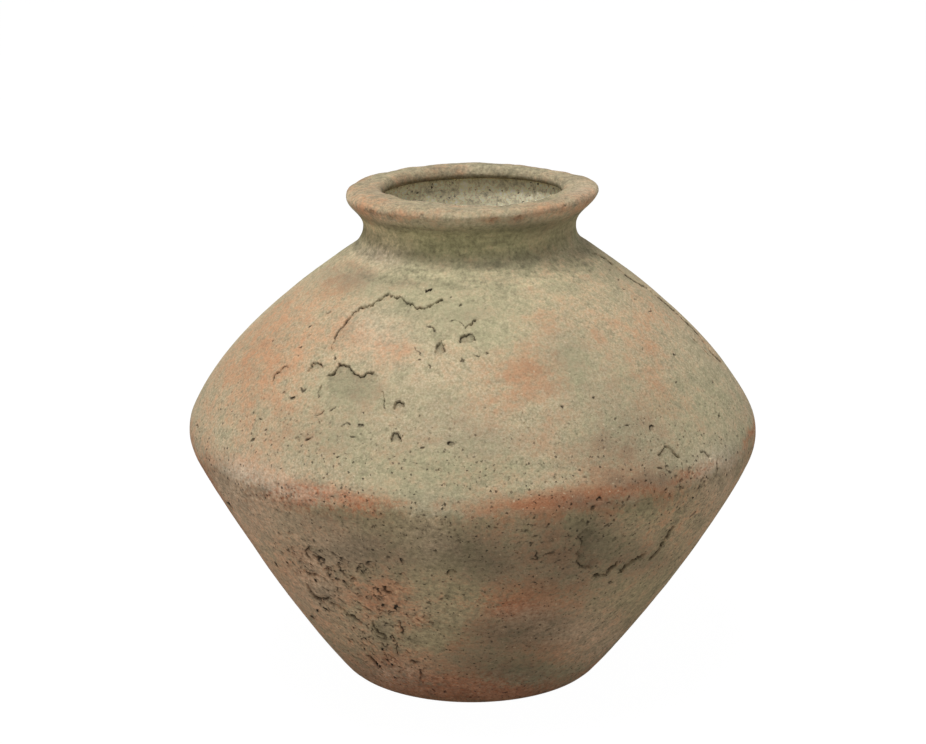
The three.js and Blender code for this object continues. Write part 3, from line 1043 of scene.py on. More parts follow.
@dataclass(frozen=True)
class TintBands:
    """Where the bands of colour lie along the skin in millimetres, and how strong they are.

    A pair gives where a band starts, or its middle, and its width.
    """

    shown: Pair = (0.02, 0.2)
    burn_rise: float = 1.2
    burn_drawn: float = 1.6
    burn_left: float = 3.0
    burn_fret: float = 2.0
    burn: Pair = (-4.0, 7.0)
    deep: Pair = (9.0, 8.0)
    stain_power: float = 1.9
    stain_fall: float = 0.8
    cover: float = 0.75
    deep_cover: float = 1.2
    crease: Pair = (3.2, 4.4)
    crease_rust: float = 0.7
    crease_drawn: float = 0.25
    foot: float = 55.0
    foot_rust: float = 0.6
    # Painted light towards the foot, against the shade near the floor.
    foot_clean: float = 0.9
    moss_loss: float = 0.35
    under_lip: Pair = (-4.0, 12.0)
    # A band of painted shade just under the lip.
    hollow: Pair = (0.5, 4.5)
    lip_shadow_strength: float = 1.1
    lip: float = 10.0
    # A warm tint painted over the neck, standing for the colour of its shade under the lip.
    stale: Pair = (2.0, 14.0)
    shade_tint_strength: float = 0.8
    pitted: Pair = (-4.0, 64.0)


@dataclass(frozen=True)
class LipWear:
    """How the lip is worn and where its painted shadow lies, by stations counted from the skin's end.

    A band gives where it starts, how wide it rises, where it stops and how wide it falls. A bow
    gives its depth in millimetres, its middle and its half width in degrees from +X.
    """

    filled: tuple[float, ...] = (-14.0, 7.0, -2.6, 1.8)
    fullness: float = 1.8
    back_fullness: float = 1.3
    thinned: tuple[float, ...] = (-27.0, 13.0, -7.0, 7.0)
    front: tuple[float, ...] = (2.5, -62.0, 45.0)
    sunken: tuple[float, ...] = (-38.0, 12.0, -12.0, 12.0)
    back: tuple[float, ...] = (2.1, 48.0, 28.0)
    shade: float = 0.5
    shaded: Pair = (-0.9, 0.8)
    rolled: Pair = (-4.0, 8.0)
    end: float = 6.0
    lumps: tuple[Pair, ...] = ((34.0, 0.34), (8.0, 0.06))

    @staticmethod
    def share(over: Array, band: tuple[float, ...]) -> Array:
        """Return how far stations lie in a band."""
        start, rise, stop, fall = band
        return smooth(over, start, rise) * (1.0 - smooth(over, stop, fall))

    @staticmethod
    def bow(turn: Array, shape: tuple[float, ...]) -> Array:
        """Return the depth of a bow at angles in degrees."""
        depth, middle, width = shape
        return depth * bell(turn, middle, width)


@dataclass
class Weathering:
    """All that years of weather did to the outer skin: flakes, cracks, pits and stains, with painted
    shade and highlights at their edges and about the lip.
    """

    skin: Skin
    camera: PhotoCamera
    seed = 1207
    shoulder_margins = (15.0, 12.0)
    lower_margins = (30.0, 15.0)
    hidden_flakes = 9
    hidden_drop = (0.8, 1.3)
    hidden_fade = (6.0, 20.0)
    hidden_overlap = 0.3
    hidden_pits = 170
    hidden_pit_size = (0.9, 2.6)
    flake_pits = 6
    flake_pit_size = (1.2, 3.6)
    flake_pit_turn = 0.12
    flake_pit_rise = 14.0
    path_heading = 0.9
    path_bend = 0.5
    path_steps = (7, 14)
    path_least = 4
    scattered_pits = 380
    scatter_bias = 0.5
    scattered_pit_size = (0.45, 0.95)
    pit_flatness = (0.6, 1.2)
    stain_size = (12.0, 42.0)
    stain_strength = (0.35, 0.95)
    stain_cover = 0.8
    stain_counts = (34, 30, 22, 12)
    drawn_soot = 1.5
    chip_soot = 0.3
    field_least = 0.5
    field_spread = 0.5
    field_bias = 1.5
    field_mesh = 1.15
    hidden_mesh = 2.4
    coarse_mesh = 2.0
    slit_slant = (0.75, 0.3)
    slit_length = (2.5, 6.5)
    slit_cut = (0.8, 1.25)
    slit_bend = 0.5
    stride = 5.5
    grazing = -0.12
    bands = TintBands()
    lip = LipWear()

    def __post_init__(self) -> None:
        """Mark the whole skin."""
        self.map = SkinMap(self.skin, self.seed)
        self.random = np.random.default_rng(self.seed + 1)
        self._mark_front()
        self._mark_hidden_side()
        self._scatter_pits()
        self._firm_lip()
        self.hidden_stains = [self._hidden_stains(count) for count in self.stain_counts]

    def _between(self, low: float, high: float) -> float:
        """Draw a random number between two."""
        return float(self.random.uniform(low, high))

    def _mark_front(self) -> None:
        """Mark what the photograph shows."""
        for flake in FLAKES:
            self.map.add_flake(self.camera.cast(flake.points, self.skin), flake)
        for crack in CRACKS:
            self.map.add_crack(self.camera.cast(crack.points, self.skin), crack)
        for x, y, width, height in PITS:
            corners = ((x, y), (x + width / 2.0, y), (x, y - height / 2.0))
            self.map.add_pit(self.camera.cast(corners, self.skin), 1.0, self.drawn_soot)
        for degrees, *chip in LIP_CHIPS:
            self.map.add_pit(self._corners(math.radians(degrees), *chip), 1.0, self.chip_soot)
        for patch in PIT_FIELDS:
            shares = self.random.normal(0.0, self.field_spread, (patch.count, 2)).clip(-1.0, 1.0)
            for place in self.camera.cast(patch.pixels(shares), self.skin):
                share = self._between(0.0, 1.0) ** self.field_bias
                half_width = self.field_least + (patch.largest - self.field_least) * share
                self._pit(place, half_width, self.field_mesh)
        self._cut_slits()

    def _cut_slits(self) -> None:
        """Cut the short slanting slits of the eaten patch."""
        chance = np.random.default_rng(self.seed + 2)
        for patch in SLIT_FIELDS:
            shares = chance.uniform(-1.0, 1.0, (patch.count, 2))
            for angle, station in self.camera.cast(patch.pixels(shares), self.skin):
                slant = float(chance.normal(*self.slit_slant))
                length = float(chance.uniform(*self.slit_length))
                turn = length * math.cos(slant) / self.map.radius_at(station)
                fall = length * math.sin(slant)
                bend = float(chance.normal(0.0, self.slit_bend))
                crack = Crack((), float(chance.uniform(*self.slit_cut)))
                self.map.add_crack(np.array([
                    (angle, station),
                    (angle + 0.5 * turn, station - 0.5 * fall + bend),
                    (angle + turn, station - fall),
                ]), crack)

    def _is_seen(self, angle: float, station: float) -> bool:
        """Tell whether the photograph shows a place of the skin, or nearly does."""
        radius, height = self.skin.place(np.array([station]))[0]
        out, up = self.skin.facing(np.array([station]))[0]
        cosine, sine = math.cos(angle), math.sin(angle)
        sight = self.camera.eye - np.array([radius * cosine, radius * sine, height])
        facing = sight @ np.array([out * cosine, out * sine, up])
        return bool(facing > self.grazing * np.linalg.norm(sight))

    def _mark_hidden_side(self) -> None:
        """Give the side that the photograph doesn't show flakes and pits of the same kind."""
        skin = self.skin
        spans = ((skin.belly_end, skin.shoulder_end), (skin.foot_end, skin.lower_end))
        walls = [(start + below, end - above) for (start, end), (below, above)
                 in zip(spans, (self.shoulder_margins, self.lower_margins))]
        for index in range(self.hidden_flakes):
            low, high = walls[index % 2]
            angle = math.pi * (index + 1.0) / (self.hidden_flakes + 1.0)
            places = self._broken_path(angle, self._between(low, high), low, high)
            if len(places) < self.path_least:
                continue
            drop, fade = self._between(*self.hidden_drop), self._between(*self.hidden_fade)
            flake = Flake((), Recess.RIGHT, drop, fade, cut=1.0)
            self.map.add_flake(np.array(places), flake, self.coarse_mesh)
            for _ in range(self.flake_pits):
                side = places[-1][0] + float(self.random.normal(0.0, self.flake_pit_turn))
                station = places[-1][1] + float(self.random.normal(0.0, self.flake_pit_rise))
                self._hidden_pit(side, station, *self.flake_pit_size)
        for _ in range(self.hidden_pits):
            angle = self._between(-self.hidden_overlap, math.pi + self.hidden_overlap)
            station = self._between(skin.foot_end, skin.neck_seam)
            self._hidden_pit(angle, station, *self.hidden_pit_size)

    def _broken_path(self, angle: float, station: float, low: float,
                     high: float) -> list[Pair]:
        """Walk a broken edge over the hidden side.

        Args:
            angle: Where it starts.
            station: The station at which it starts.
            low: The lowest station that it may reach.
            high: The highest one.

        Returns:
            Its points as angle and station, as far as the photograph doesn't show them.
        """
        heading = self._between(-self.path_heading, self.path_heading)
        places = []
        for _ in range(int(self.random.integers(*self.path_steps))):
            if self._is_seen(angle, station):
                break
            places.append((angle, station))
            heading += float(self.random.normal(0.0, self.path_bend))
            angle += self.stride * math.cos(heading) / self.map.radius_at(station)
            station = float(np.clip(station + self.stride * math.sin(heading), low, high))
        return places

    def _hidden_pit(self, angle: float, station: float, least: float, most: float) -> None:
        """Sink one pit of a random half width, unless the photograph shows the place."""
        if not self._is_seen(angle, station):
            self._pit((angle, station), self._between(least, most), self.hidden_mesh)

    def _pit(self, place: Pair, half_width: float, coarser: float) -> None:
        """Sink one pit of a half width at a place given as angle and station."""
        half_height = half_width * self._between(*self.pit_flatness)
        self.map.add_pit(self._corners(*place, half_width, half_height), coarser)

    def _corners(self, angle: float, station: float, half_width: float,
                 half_height: float) -> Array:
        """Return a pit's middle, right edge and top edge as angle and station."""
        right = angle + half_width / self.map.radius_at(station)
        return np.array([(angle, station), (right, station), (angle, station + half_height)])

    def _scatter_pits(self) -> None:
        """Scatter small pits all round, more of them below the belly."""
        skin = self.skin
        for _ in range(self.scattered_pits):
            angle = self._between(-math.pi, math.pi)
            share = self._between(0.0, 1.0) ** self.scatter_bias
            station = skin.neck_seam + (skin.foot_end - skin.neck_seam) * share
            half_width = self._between(*self.scattered_pit_size)
            self._pit((angle, station), half_width, self.coarse_mesh)

    def _firm_lip(self) -> None:
        """Make the lip uneven: fuller at the back of the mouth, worn thin at the front right, with a
        painted shadow along its inner edge over the bore.
        """
        stations, lip = self.map.stations, self.lip
        over = stations - self.skin.end
        turn = np.degrees(np.arange(self.map.columns) * (2.0 * math.pi / self.map.columns))
        turn = (turn + 180.0) % 360.0 - 180.0
        full = lip.fullness + lip.back_fullness * np.clip(np.sin(np.radians(turn)), 0.0, 1.0)
        shape = np.outer(lip.share(over, lip.thinned), lip.bow(turn, lip.front))
        shape += np.outer(lip.share(over, lip.sunken), lip.bow(turn, lip.back))
        shape -= np.outer(lip.share(over, lip.filled), full)
        self.map.depth += shape.astype(np.float32)
        rolled = smooth(stations - self.skin.tuck_end, *lip.rolled) * smooth(-over, 0.0, lip.end)
        lumps = sum(height * self.map.noise(size) for size, height in lip.lumps)
        self.map.depth += (rolled[:, None] * lumps).astype(np.float32)
        # A painted shadow along the last of the skin, where the lip overhangs the bore.
        shade = lip.shade * smooth(over, *lip.shaded)
        self.map.dirt = np.maximum(self.map.dirt, shade[:, None].astype(np.float32))

    def _hidden_stains(self, count: int) -> list[tuple[Array, float, float]]:
        """Place soft patches of colour at random over the whole skin.

        Args:
            count: How many there are.

        Returns:
            The place, half width and strength of each.
        """
        stains = []
        for _ in range(count):
            angle = self._between(-math.pi, math.pi)
            station = self._between(0.0, self.skin.end)
            radius, height = self.skin.place(np.array([station]))[0]
            place = np.array([radius * math.cos(angle), radius * math.sin(angle), height])
            size = self._between(*self.stain_size)
            strength = self.stain_cover * self._between(*self.stain_strength)
            stains.append((place, size, strength))
        return stains

    def colour_masks(self, places: Array, normals: Array, station: Array,
                     outer: Array, angle: Array) -> dict[str, Array]:
        """Find how strongly each tint shows at places of a piece.

        Args:
            places: Points in millimetres, one row each.
            normals: Their outward normals.
            station: Their stations on the outer skin.
            outer: 1 for a point of the outer skin, 0 elsewhere.
            angle: Their angles round the axis.

        Returns:
            The strength of each tint by its name.
        """
        skin, bands = self.skin, self.bands
        pixels = self.camera.project(places)
        sight = self.camera.eye - places
        sight /= np.linalg.norm(sight, axis=1, keepdims=True)
        shown = smooth(np.einsum("ij,ij->i", sight, normals), *bands.shown)
        drawn = self.map.read(self.map.drawn, angle, station)
        line = station - skin.belly_seam - bands.burn_rise - bands.burn_drawn * drawn
        line += bands.burn_left * np.clip(-np.cos(angle), 0.0, 1.0)
        line -= bands.burn_fret * self.map.read(self.map.wander_up, angle, station)
        deep = 1.0 - smooth(line, *bands.deep)
        masks = {}
        for (name, stains), hidden in zip(STAINS.items(), self.hidden_stains):
            clear = np.ones(len(places))
            for stain in stains:
                spot = np.exp(-stain.reach(pixels) ** bands.stain_power * bands.stain_fall)
                clear *= 1.0 - stain.strength * spot * shown
            for middle, size, strength in hidden:
                spot = bell(np.linalg.norm(places - middle, axis=1), 0.0, size)
                clear *= 1.0 - strength * spot * (1.0 - shown)
            masks[name] = 1.0 - clear ** (bands.cover + bands.deep_cover * deep)
        crease = (bands.crease_rust + bands.crease_drawn * drawn) * bell(line, *bands.crease)
        foot = 1.0 - smooth(station - skin.foot_end, 0.0, bands.foot)
        masks["rust"] = np.maximum(masks["rust"], np.maximum(crease, bands.foot_rust * foot))
        masks["moss"] -= bands.moss_loss * masks["rust"]
        # Less of the burnt tint towards the foot, as painted light against the shade near the floor.
        masks["umber"] = (1.0 - smooth(line, *bands.burn)) * (1.0 - bands.foot_clean * foot)
        under = 1.0 - smooth(station - skin.lip_seam, *bands.under_lip)
        # A band of painted shade just under the lip, carried by the lip mask.
        hollow = bands.lip_shadow_strength * bell(station - skin.lip_seam, *bands.hollow)
        lip = smooth(station - skin.tuck_end, 0.0, bands.lip)
        masks["lip"] = np.maximum(lip, hollow) * outer
        # A warm tint painted over the neck, standing for the colour of its shade under the lip.
        masks["stale"] = bands.shade_tint_strength * under * smooth(
            station - skin.shoulder_end, *bands.stale)
        masks["pitted"] = 1.0 - smooth(station - skin.belly_end, *bands.pitted)
        masks["bare"] = np.clip(outer, 0.0, 1.0)
        return masks


@dataclass
class Leg:
    """One side of a piece's section: a dense line with its normals and how its rows lie."""

    points: Array
    normals: Array
    row: float
    stations: Array | None = None
    wear: float = 1.0
    rings: float = 0.0
    is_face: bool = False


def face_leg(start: Array, end: Array, row: float = 3.2, steps: int = 8) -> Leg:
    """Return the plain leg across a seam, from a corner of the section to the next."""
    share = np.linspace(0.0, 1.0, steps + 1)[1:-1, None]
    points = start * (1.0 - share) + end * share
    way = (end - start) / np.linalg.norm(end - start)
    normals = np.repeat([[way[1], -way[0]]], len(points), axis=0)
    return Leg(points, normals, row, wear=0.0, is_face=True)


@dataclass
class Section:
    """The closed section of a piece, read by the distance run round it.

    Its legs follow each other with the clay on their left. Where it isn't closed, the first
    and the last of them end on the axis.
    """

    legs: list[Leg]
    closed: bool

    def __post_init__(self) -> None:
        """Join the legs."""
        legs = self.legs
        points = np.concatenate([leg.points for leg in legs])
        runs = run_lengths(points)
        normals = np.concatenate([leg.normals for leg in legs])
        stations = np.concatenate([
            np.zeros(len(leg.points)) if leg.stations is None else leg.stations for leg in legs
        ])
        traits = np.concatenate([
            np.repeat([[float(leg.stations is not None), leg.wear, leg.rings]], len(leg.points), 0)
            for leg in legs
        ])
        self.table = np.column_stack([points, normals, stations, traits])
        if self.closed:
            runs = np.append(runs, runs[-1] + np.linalg.norm(points[0] - points[-1]))
            self.table = np.vstack([self.table, self.table[0]])
        self.runs = runs
        self.length = float(runs[-1])
        self.rows = self._row_runs()

    def _row_runs(self) -> Array:
        """Return the runs at which the mesh has its rows."""
        rows: list[float] = []
        first = 0
        for number, leg in enumerate(self.legs):
            last = first + len(leg.points) - 1
            low, high = self.runs[first], self.runs[last]
            if leg.is_face:
                low = self.runs[max(first - 1, 0)]
                high = self.runs[last + 1]
            count = max(1, round((high - low) / leg.row))
            cuts = np.linspace(low, high, count + 1)
            if leg.is_face:
                cuts = cuts[1:-1]
            elif not self.closed and number == len(self.legs) - 1:
                cuts = cuts[:-1]
            rows.extend(cuts)
            first = last + 1
        kept = np.unique(np.round(rows, 4))
        return kept[kept > 1e-3] if not self.closed else kept

    def read(self, run: Array) -> Array:
        """Return the section's table at runs: radius, height, normal, station and traits."""
        return np.column_stack([
            np.interp(run, self.runs, self.table[:, column])
            for column in range(self.table.shape[1])
        ])


@dataclass
class TurnedSheet:
    """Triangles over angle and run, split finer wherever the relief asks for it."""

    section: Section
    skin_map: SkinMap | None
    columns = 360
    limit = 197000
    rounds = 6
    plain_size = 12.0
    slacks = (1.25, 1.45, 1.7, 2.0, 2.4, 3.0, 4.0)

    def __post_init__(self) -> None:
        """Lay the even sheet, and refine it where it has a relief to follow."""
        self._lay()
        if self.skin_map is not None:
            for _ in range(self.rounds):
                if not self._split():
                    break

    def _lay(self) -> None:
        """Make the even sheet, closed round the section or by a pole at each end."""
        rows = self.section.rows
        count = len(rows)
        column = np.tile(np.arange(self.columns, dtype=float), count)
        self.angle = column
        self.run = np.repeat(rows, self.columns)
        self.pole = np.zeros(len(self.run), bool)
        across = np.arange(self.columns)
        beside = (across + 1) % self.columns
        pairs = count if self.section.closed else count - 1
        triangles = []
        for row in range(pairs):
            low = row * self.columns
            high = ((row + 1) % count) * self.columns
            triangles.append(np.column_stack([low + across, low + beside, high + beside]))
            triangles.append(np.column_stack([low + across, high + beside, high + across]))
        if not self.section.closed:
            start, end = len(self.run), len(self.run) + 1
            self.angle = np.append(self.angle, [0.0, 0.0])
            self.run = np.append(self.run, [0.0, self.section.length])
            self.pole = np.append(self.pole, [True, True])
            last = (count - 1) * self.columns
            first_pole = np.full(self.columns, start)
            last_pole = np.full(self.columns, end)
            triangles.append(np.column_stack([first_pole, beside, across]))
            triangles.append(np.column_stack([last_pole, last + across, last + beside]))
        self.triangles = np.concatenate(triangles)

    def radians(self, angle: Array) -> Array:
        """Return angles counted in columns as radians."""
        return angle * (2.0 * math.pi / self.columns)

    def _places(self) -> Array:
        """Return the place of each corner before it is weathered."""
        radius, height = self.section.read(self.run)[:, :2].T
        return turned(radius, height, self.radians(self.angle))

    def _split(self) -> bool:
        """Split the edges that are longer than the relief there wants.

        Each split also halves the longest edge of its triangle, which keeps the triangles
        well shaped and the sheet whole. Where splitting them all would pass the limit, only
        those that are too long by a larger factor are split.

        Returns:
            Whether anything was split.
        """
        total = len(self.run)
        sides = self.triangles[:, [[0, 1], [1, 2], [2, 0]]]
        keys = sides.min(axis=2) * total + sides.max(axis=2)
        unique, inverse = np.unique(keys, return_inverse=True)
        inverse = inverse.reshape(-1, 3)
        low, high = unique // total, unique % total
        places = self._places()
        length = np.linalg.norm(places[low] - places[high], axis=1)
        angle, run = self._middles(low, high)
        station, outer = self.section.read(run)[:, 4:6].T
        wanted = self.skin_map.read(self.skin_map.size, self.radians(angle), station)
        wanted = np.where(outer > 0.5, wanted, self.plain_size)
        every = np.arange(len(self.triangles))
        longest = length[inverse].argmax(axis=1)
        main_side = inverse[every, longest]
        for slack in self.slacks:
            marked = length > wanted * slack
            while True:
                touched = marked[inverse].any(axis=1)
                needed = main_side[touched]
                if marked[needed].all():
                    break
                marked[needed] = True
            if len(self.triangles) + marked[inverse].sum() <= self.limit:
                break
        else:
            return False
        if not marked.any():
            return False
        number = np.full(len(unique), -1)
        number[marked] = total + np.arange(int(marked.sum()))
        self.angle = np.append(self.angle, angle[marked])
        self.run = np.append(self.run, run[marked])
        self.pole = np.append(self.pole, np.zeros(int(marked.sum()), bool))
        order = (longest[:, None] + np.arange(3)) % 3
        corner = np.take_along_axis(self.triangles, order, axis=1)
        middle = number[np.take_along_axis(inverse, order, axis=1)]
        self.triangles = self._cut(corner, middle)
        return True

    def _middles(self, low: Array, high: Array) -> tuple[Array, Array]:
        """Return the angle and run half way along edges, over the join of either."""
        turn = self.angle[high] - self.angle[low]
        turn = (turn + self.columns / 2.0) % self.columns - self.columns / 2.0
        turn = np.where(self.pole[high] | self.pole[low], 0.0, turn)
        start = np.where(self.pole[low], self.angle[high], self.angle[low])
        way = self.run[high] - self.run[low]
        if self.section.closed:
            half = self.section.length / 2.0
            way = (way + half) % self.section.length - half
        run = self.run[low] + way / 2.0
        if self.section.closed:
            run = run % self.section.length
        return (start + turn / 2.0) % self.columns, run

    @staticmethod
    def _cut(corner: Array, middle: Array) -> Array:
        """Cut triangles at their marked middles.

        Args:
            corner: Corners of each triangle, its longest edge first.
            middle: The new corner on each edge, or -1 for an edge that stays whole.

        Returns:
            The triangles that take their place.
        """
        whole = middle[:, 0] < 0
        parts = [corner[whole]]
        corner, middle = corner[~whole], middle[~whole]
        first, second, third = corner.T
        base, right, left = middle.T
        split_left, split_right = left >= 0, right >= 0
        groups = (
            (~split_left, (first, base, third)),
            (split_left, (first, base, left)),
            (split_left, (left, base, third)),
            (~split_right, (base, second, third)),
            (split_right, (base, second, right)),
            (split_right, (base, right, third)),
        )
        for chosen, columns in groups:
            parts.append(np.column_stack([column[chosen] for column in columns]))
        return np.concatenate(parts)


class Blend(Enum):
    """How a layer of colour lies on what is below it."""

    COVER = "MIX"
    GLAZE = "MULTIPLY"


@dataclass
class Bench:
    """Lays out nodes in a tree, with numbers or sockets as their inputs."""

    tree: bpy.types.NodeTree

    def node(self, kind: str, inputs: dict | None = None, **settings: object) -> bpy.types.Node:
        """Return a new node.

        Args:
            kind: Its type.
            inputs: Numbers or sockets for its inputs, by the name or number of each.
            settings: Its own settings.

        Returns:
            The node, with its settings made and its inputs wired.
        """
        made = self.tree.nodes.new(kind)
        for name, value in settings.items():
            setattr(made, name, value)
        for name, value in (inputs or {}).items():
            self.wire(value, made.inputs[name])
        return made

    def wire(self, value: object, socket: Socket) -> None:
        """Give an input a value, or link it to the socket that makes one."""
        if isinstance(value, Socket):
            self.tree.links.new(value, socket)
        else:
            socket.default_value = value

    def math(self, operation: str, first: object, second: object = 0.0,
             clamp: bool = False) -> Socket:
        """Return the result of arithmetic on two numbers."""
        return self.node("ShaderNodeMath", {0: first, 1: second}, operation=operation,
                         use_clamp=clamp).outputs[0]

    def times(self, first: object, *others: object) -> Socket:
        """Return the product of numbers."""
        for other in others:
            first = self.math("MULTIPLY", first, other)
        return first

    def plus(self, first: object, *others: object) -> Socket:
        """Return the sum of numbers."""
        for other in others:
            first = self.math("ADD", first, other)
        return first

    def line(self, value: object, slope: object, start: object) -> Socket:
        """Return a number times a slope, added to a start."""
        return self.node("ShaderNodeMath", {0: value, 1: slope, 2: start},
                         operation="MULTIPLY_ADD").outputs[0]

    def scaled(self, vector: object, factor: object) -> Socket:
        """Return a vector times a number."""
        return self.node("ShaderNodeVectorMath", {0: vector, "Scale": factor},
                         operation="SCALE").outputs[0]

    def join(self, x: object, y: object, z: object) -> Socket:
        """Return the vector of three numbers."""
        return self.node("ShaderNodeCombineXYZ", {0: x, 1: y, 2: z}).outputs[0]

    def noise(self, vector: object, scale: object, detail: float = 2.0, rough: float = 0.55,
              seed: object = 0.0) -> Socket:
        """Return soft noise about a half, by a vector and a seed."""
        inputs = {"Vector": vector, "Scale": scale, "W": seed, "Detail": detail,
                  "Roughness": rough}
        return self.node("ShaderNodeTexNoise", inputs, noise_dimensions="4D").outputs[0]

    def swing(self, noise: object, height: object) -> Socket:
        """Return noise about a half as a height that swings about nothing."""
        return self.times(self.math("SUBTRACT", noise, 0.5), self.times(height, 2.0))

    def ramp(self, value: object, low: float, high: float) -> Socket:
        """Return an eased share of the way of a value from low to high."""
        inputs = {"Value": value, "From Min": low, "From Max": high}
        return self.node("ShaderNodeMapRange", inputs, interpolation_type="SMOOTHSTEP").outputs[0]

    def mix(self, share: object, first: object, second: object,
            blend: Blend = Blend.COVER) -> Socket:
        """Return one colour mixed into another by a share."""
        return self.node("ShaderNodeMix", {0: share, 6: first, 7: second}, data_type="RGBA",
                         blend_type=blend.value).outputs[2]


def fresh_bench(owner: bpy.types.Material | bpy.types.World) -> Bench:
    """Return a bench on the emptied node tree of a material or a world."""
    owner.use_nodes = True
    owner.node_tree.nodes.clear()
    return Bench(owner.node_tree)


def clay_colour(red: int, green: int, blue: int) -> tuple[float, float, float, float]:
    """Return a colour given by its screen values as the linear one that shaders take."""
    linear = []
    for value in (red, green, blue):
        share = value / 255.0
        linear.append(share / 12.92 if share <= 0.04045 else ((share + 0.055) / 1.055) ** 2.4)
    return linear[0], linear[1], linear[2], 1.0


# Noises in the clay, by name: how many to a metre, detail, roughness and step from the seed
CLAY_NOISES = {
    "fine": (760.0, 2.0, 0.6, 0.0), "small": (330.0, 3.0, 0.62, 7.0),
    "middle": (85.0, 4.0, 0.6, 13.0), "broad": (24.0, 3.0, 0.55, 29.0),
    "mossy": (420.0, 3.0, 0.65, 41.0), "grain": (620.0, 4.0, 0.7, 3.0),
    "lumps": (170.0, 3.0, 0.6, 5.0),
}
# Dots in the clay, by name: cells to a metre, largest radius and share of the cells with one
CLAY_DOTS = {
    "few": (230.0, 0.2, 0.6), "many": (400.0, 0.34, 0.75), "grit": (420.0, 0.3, 0.3),
}


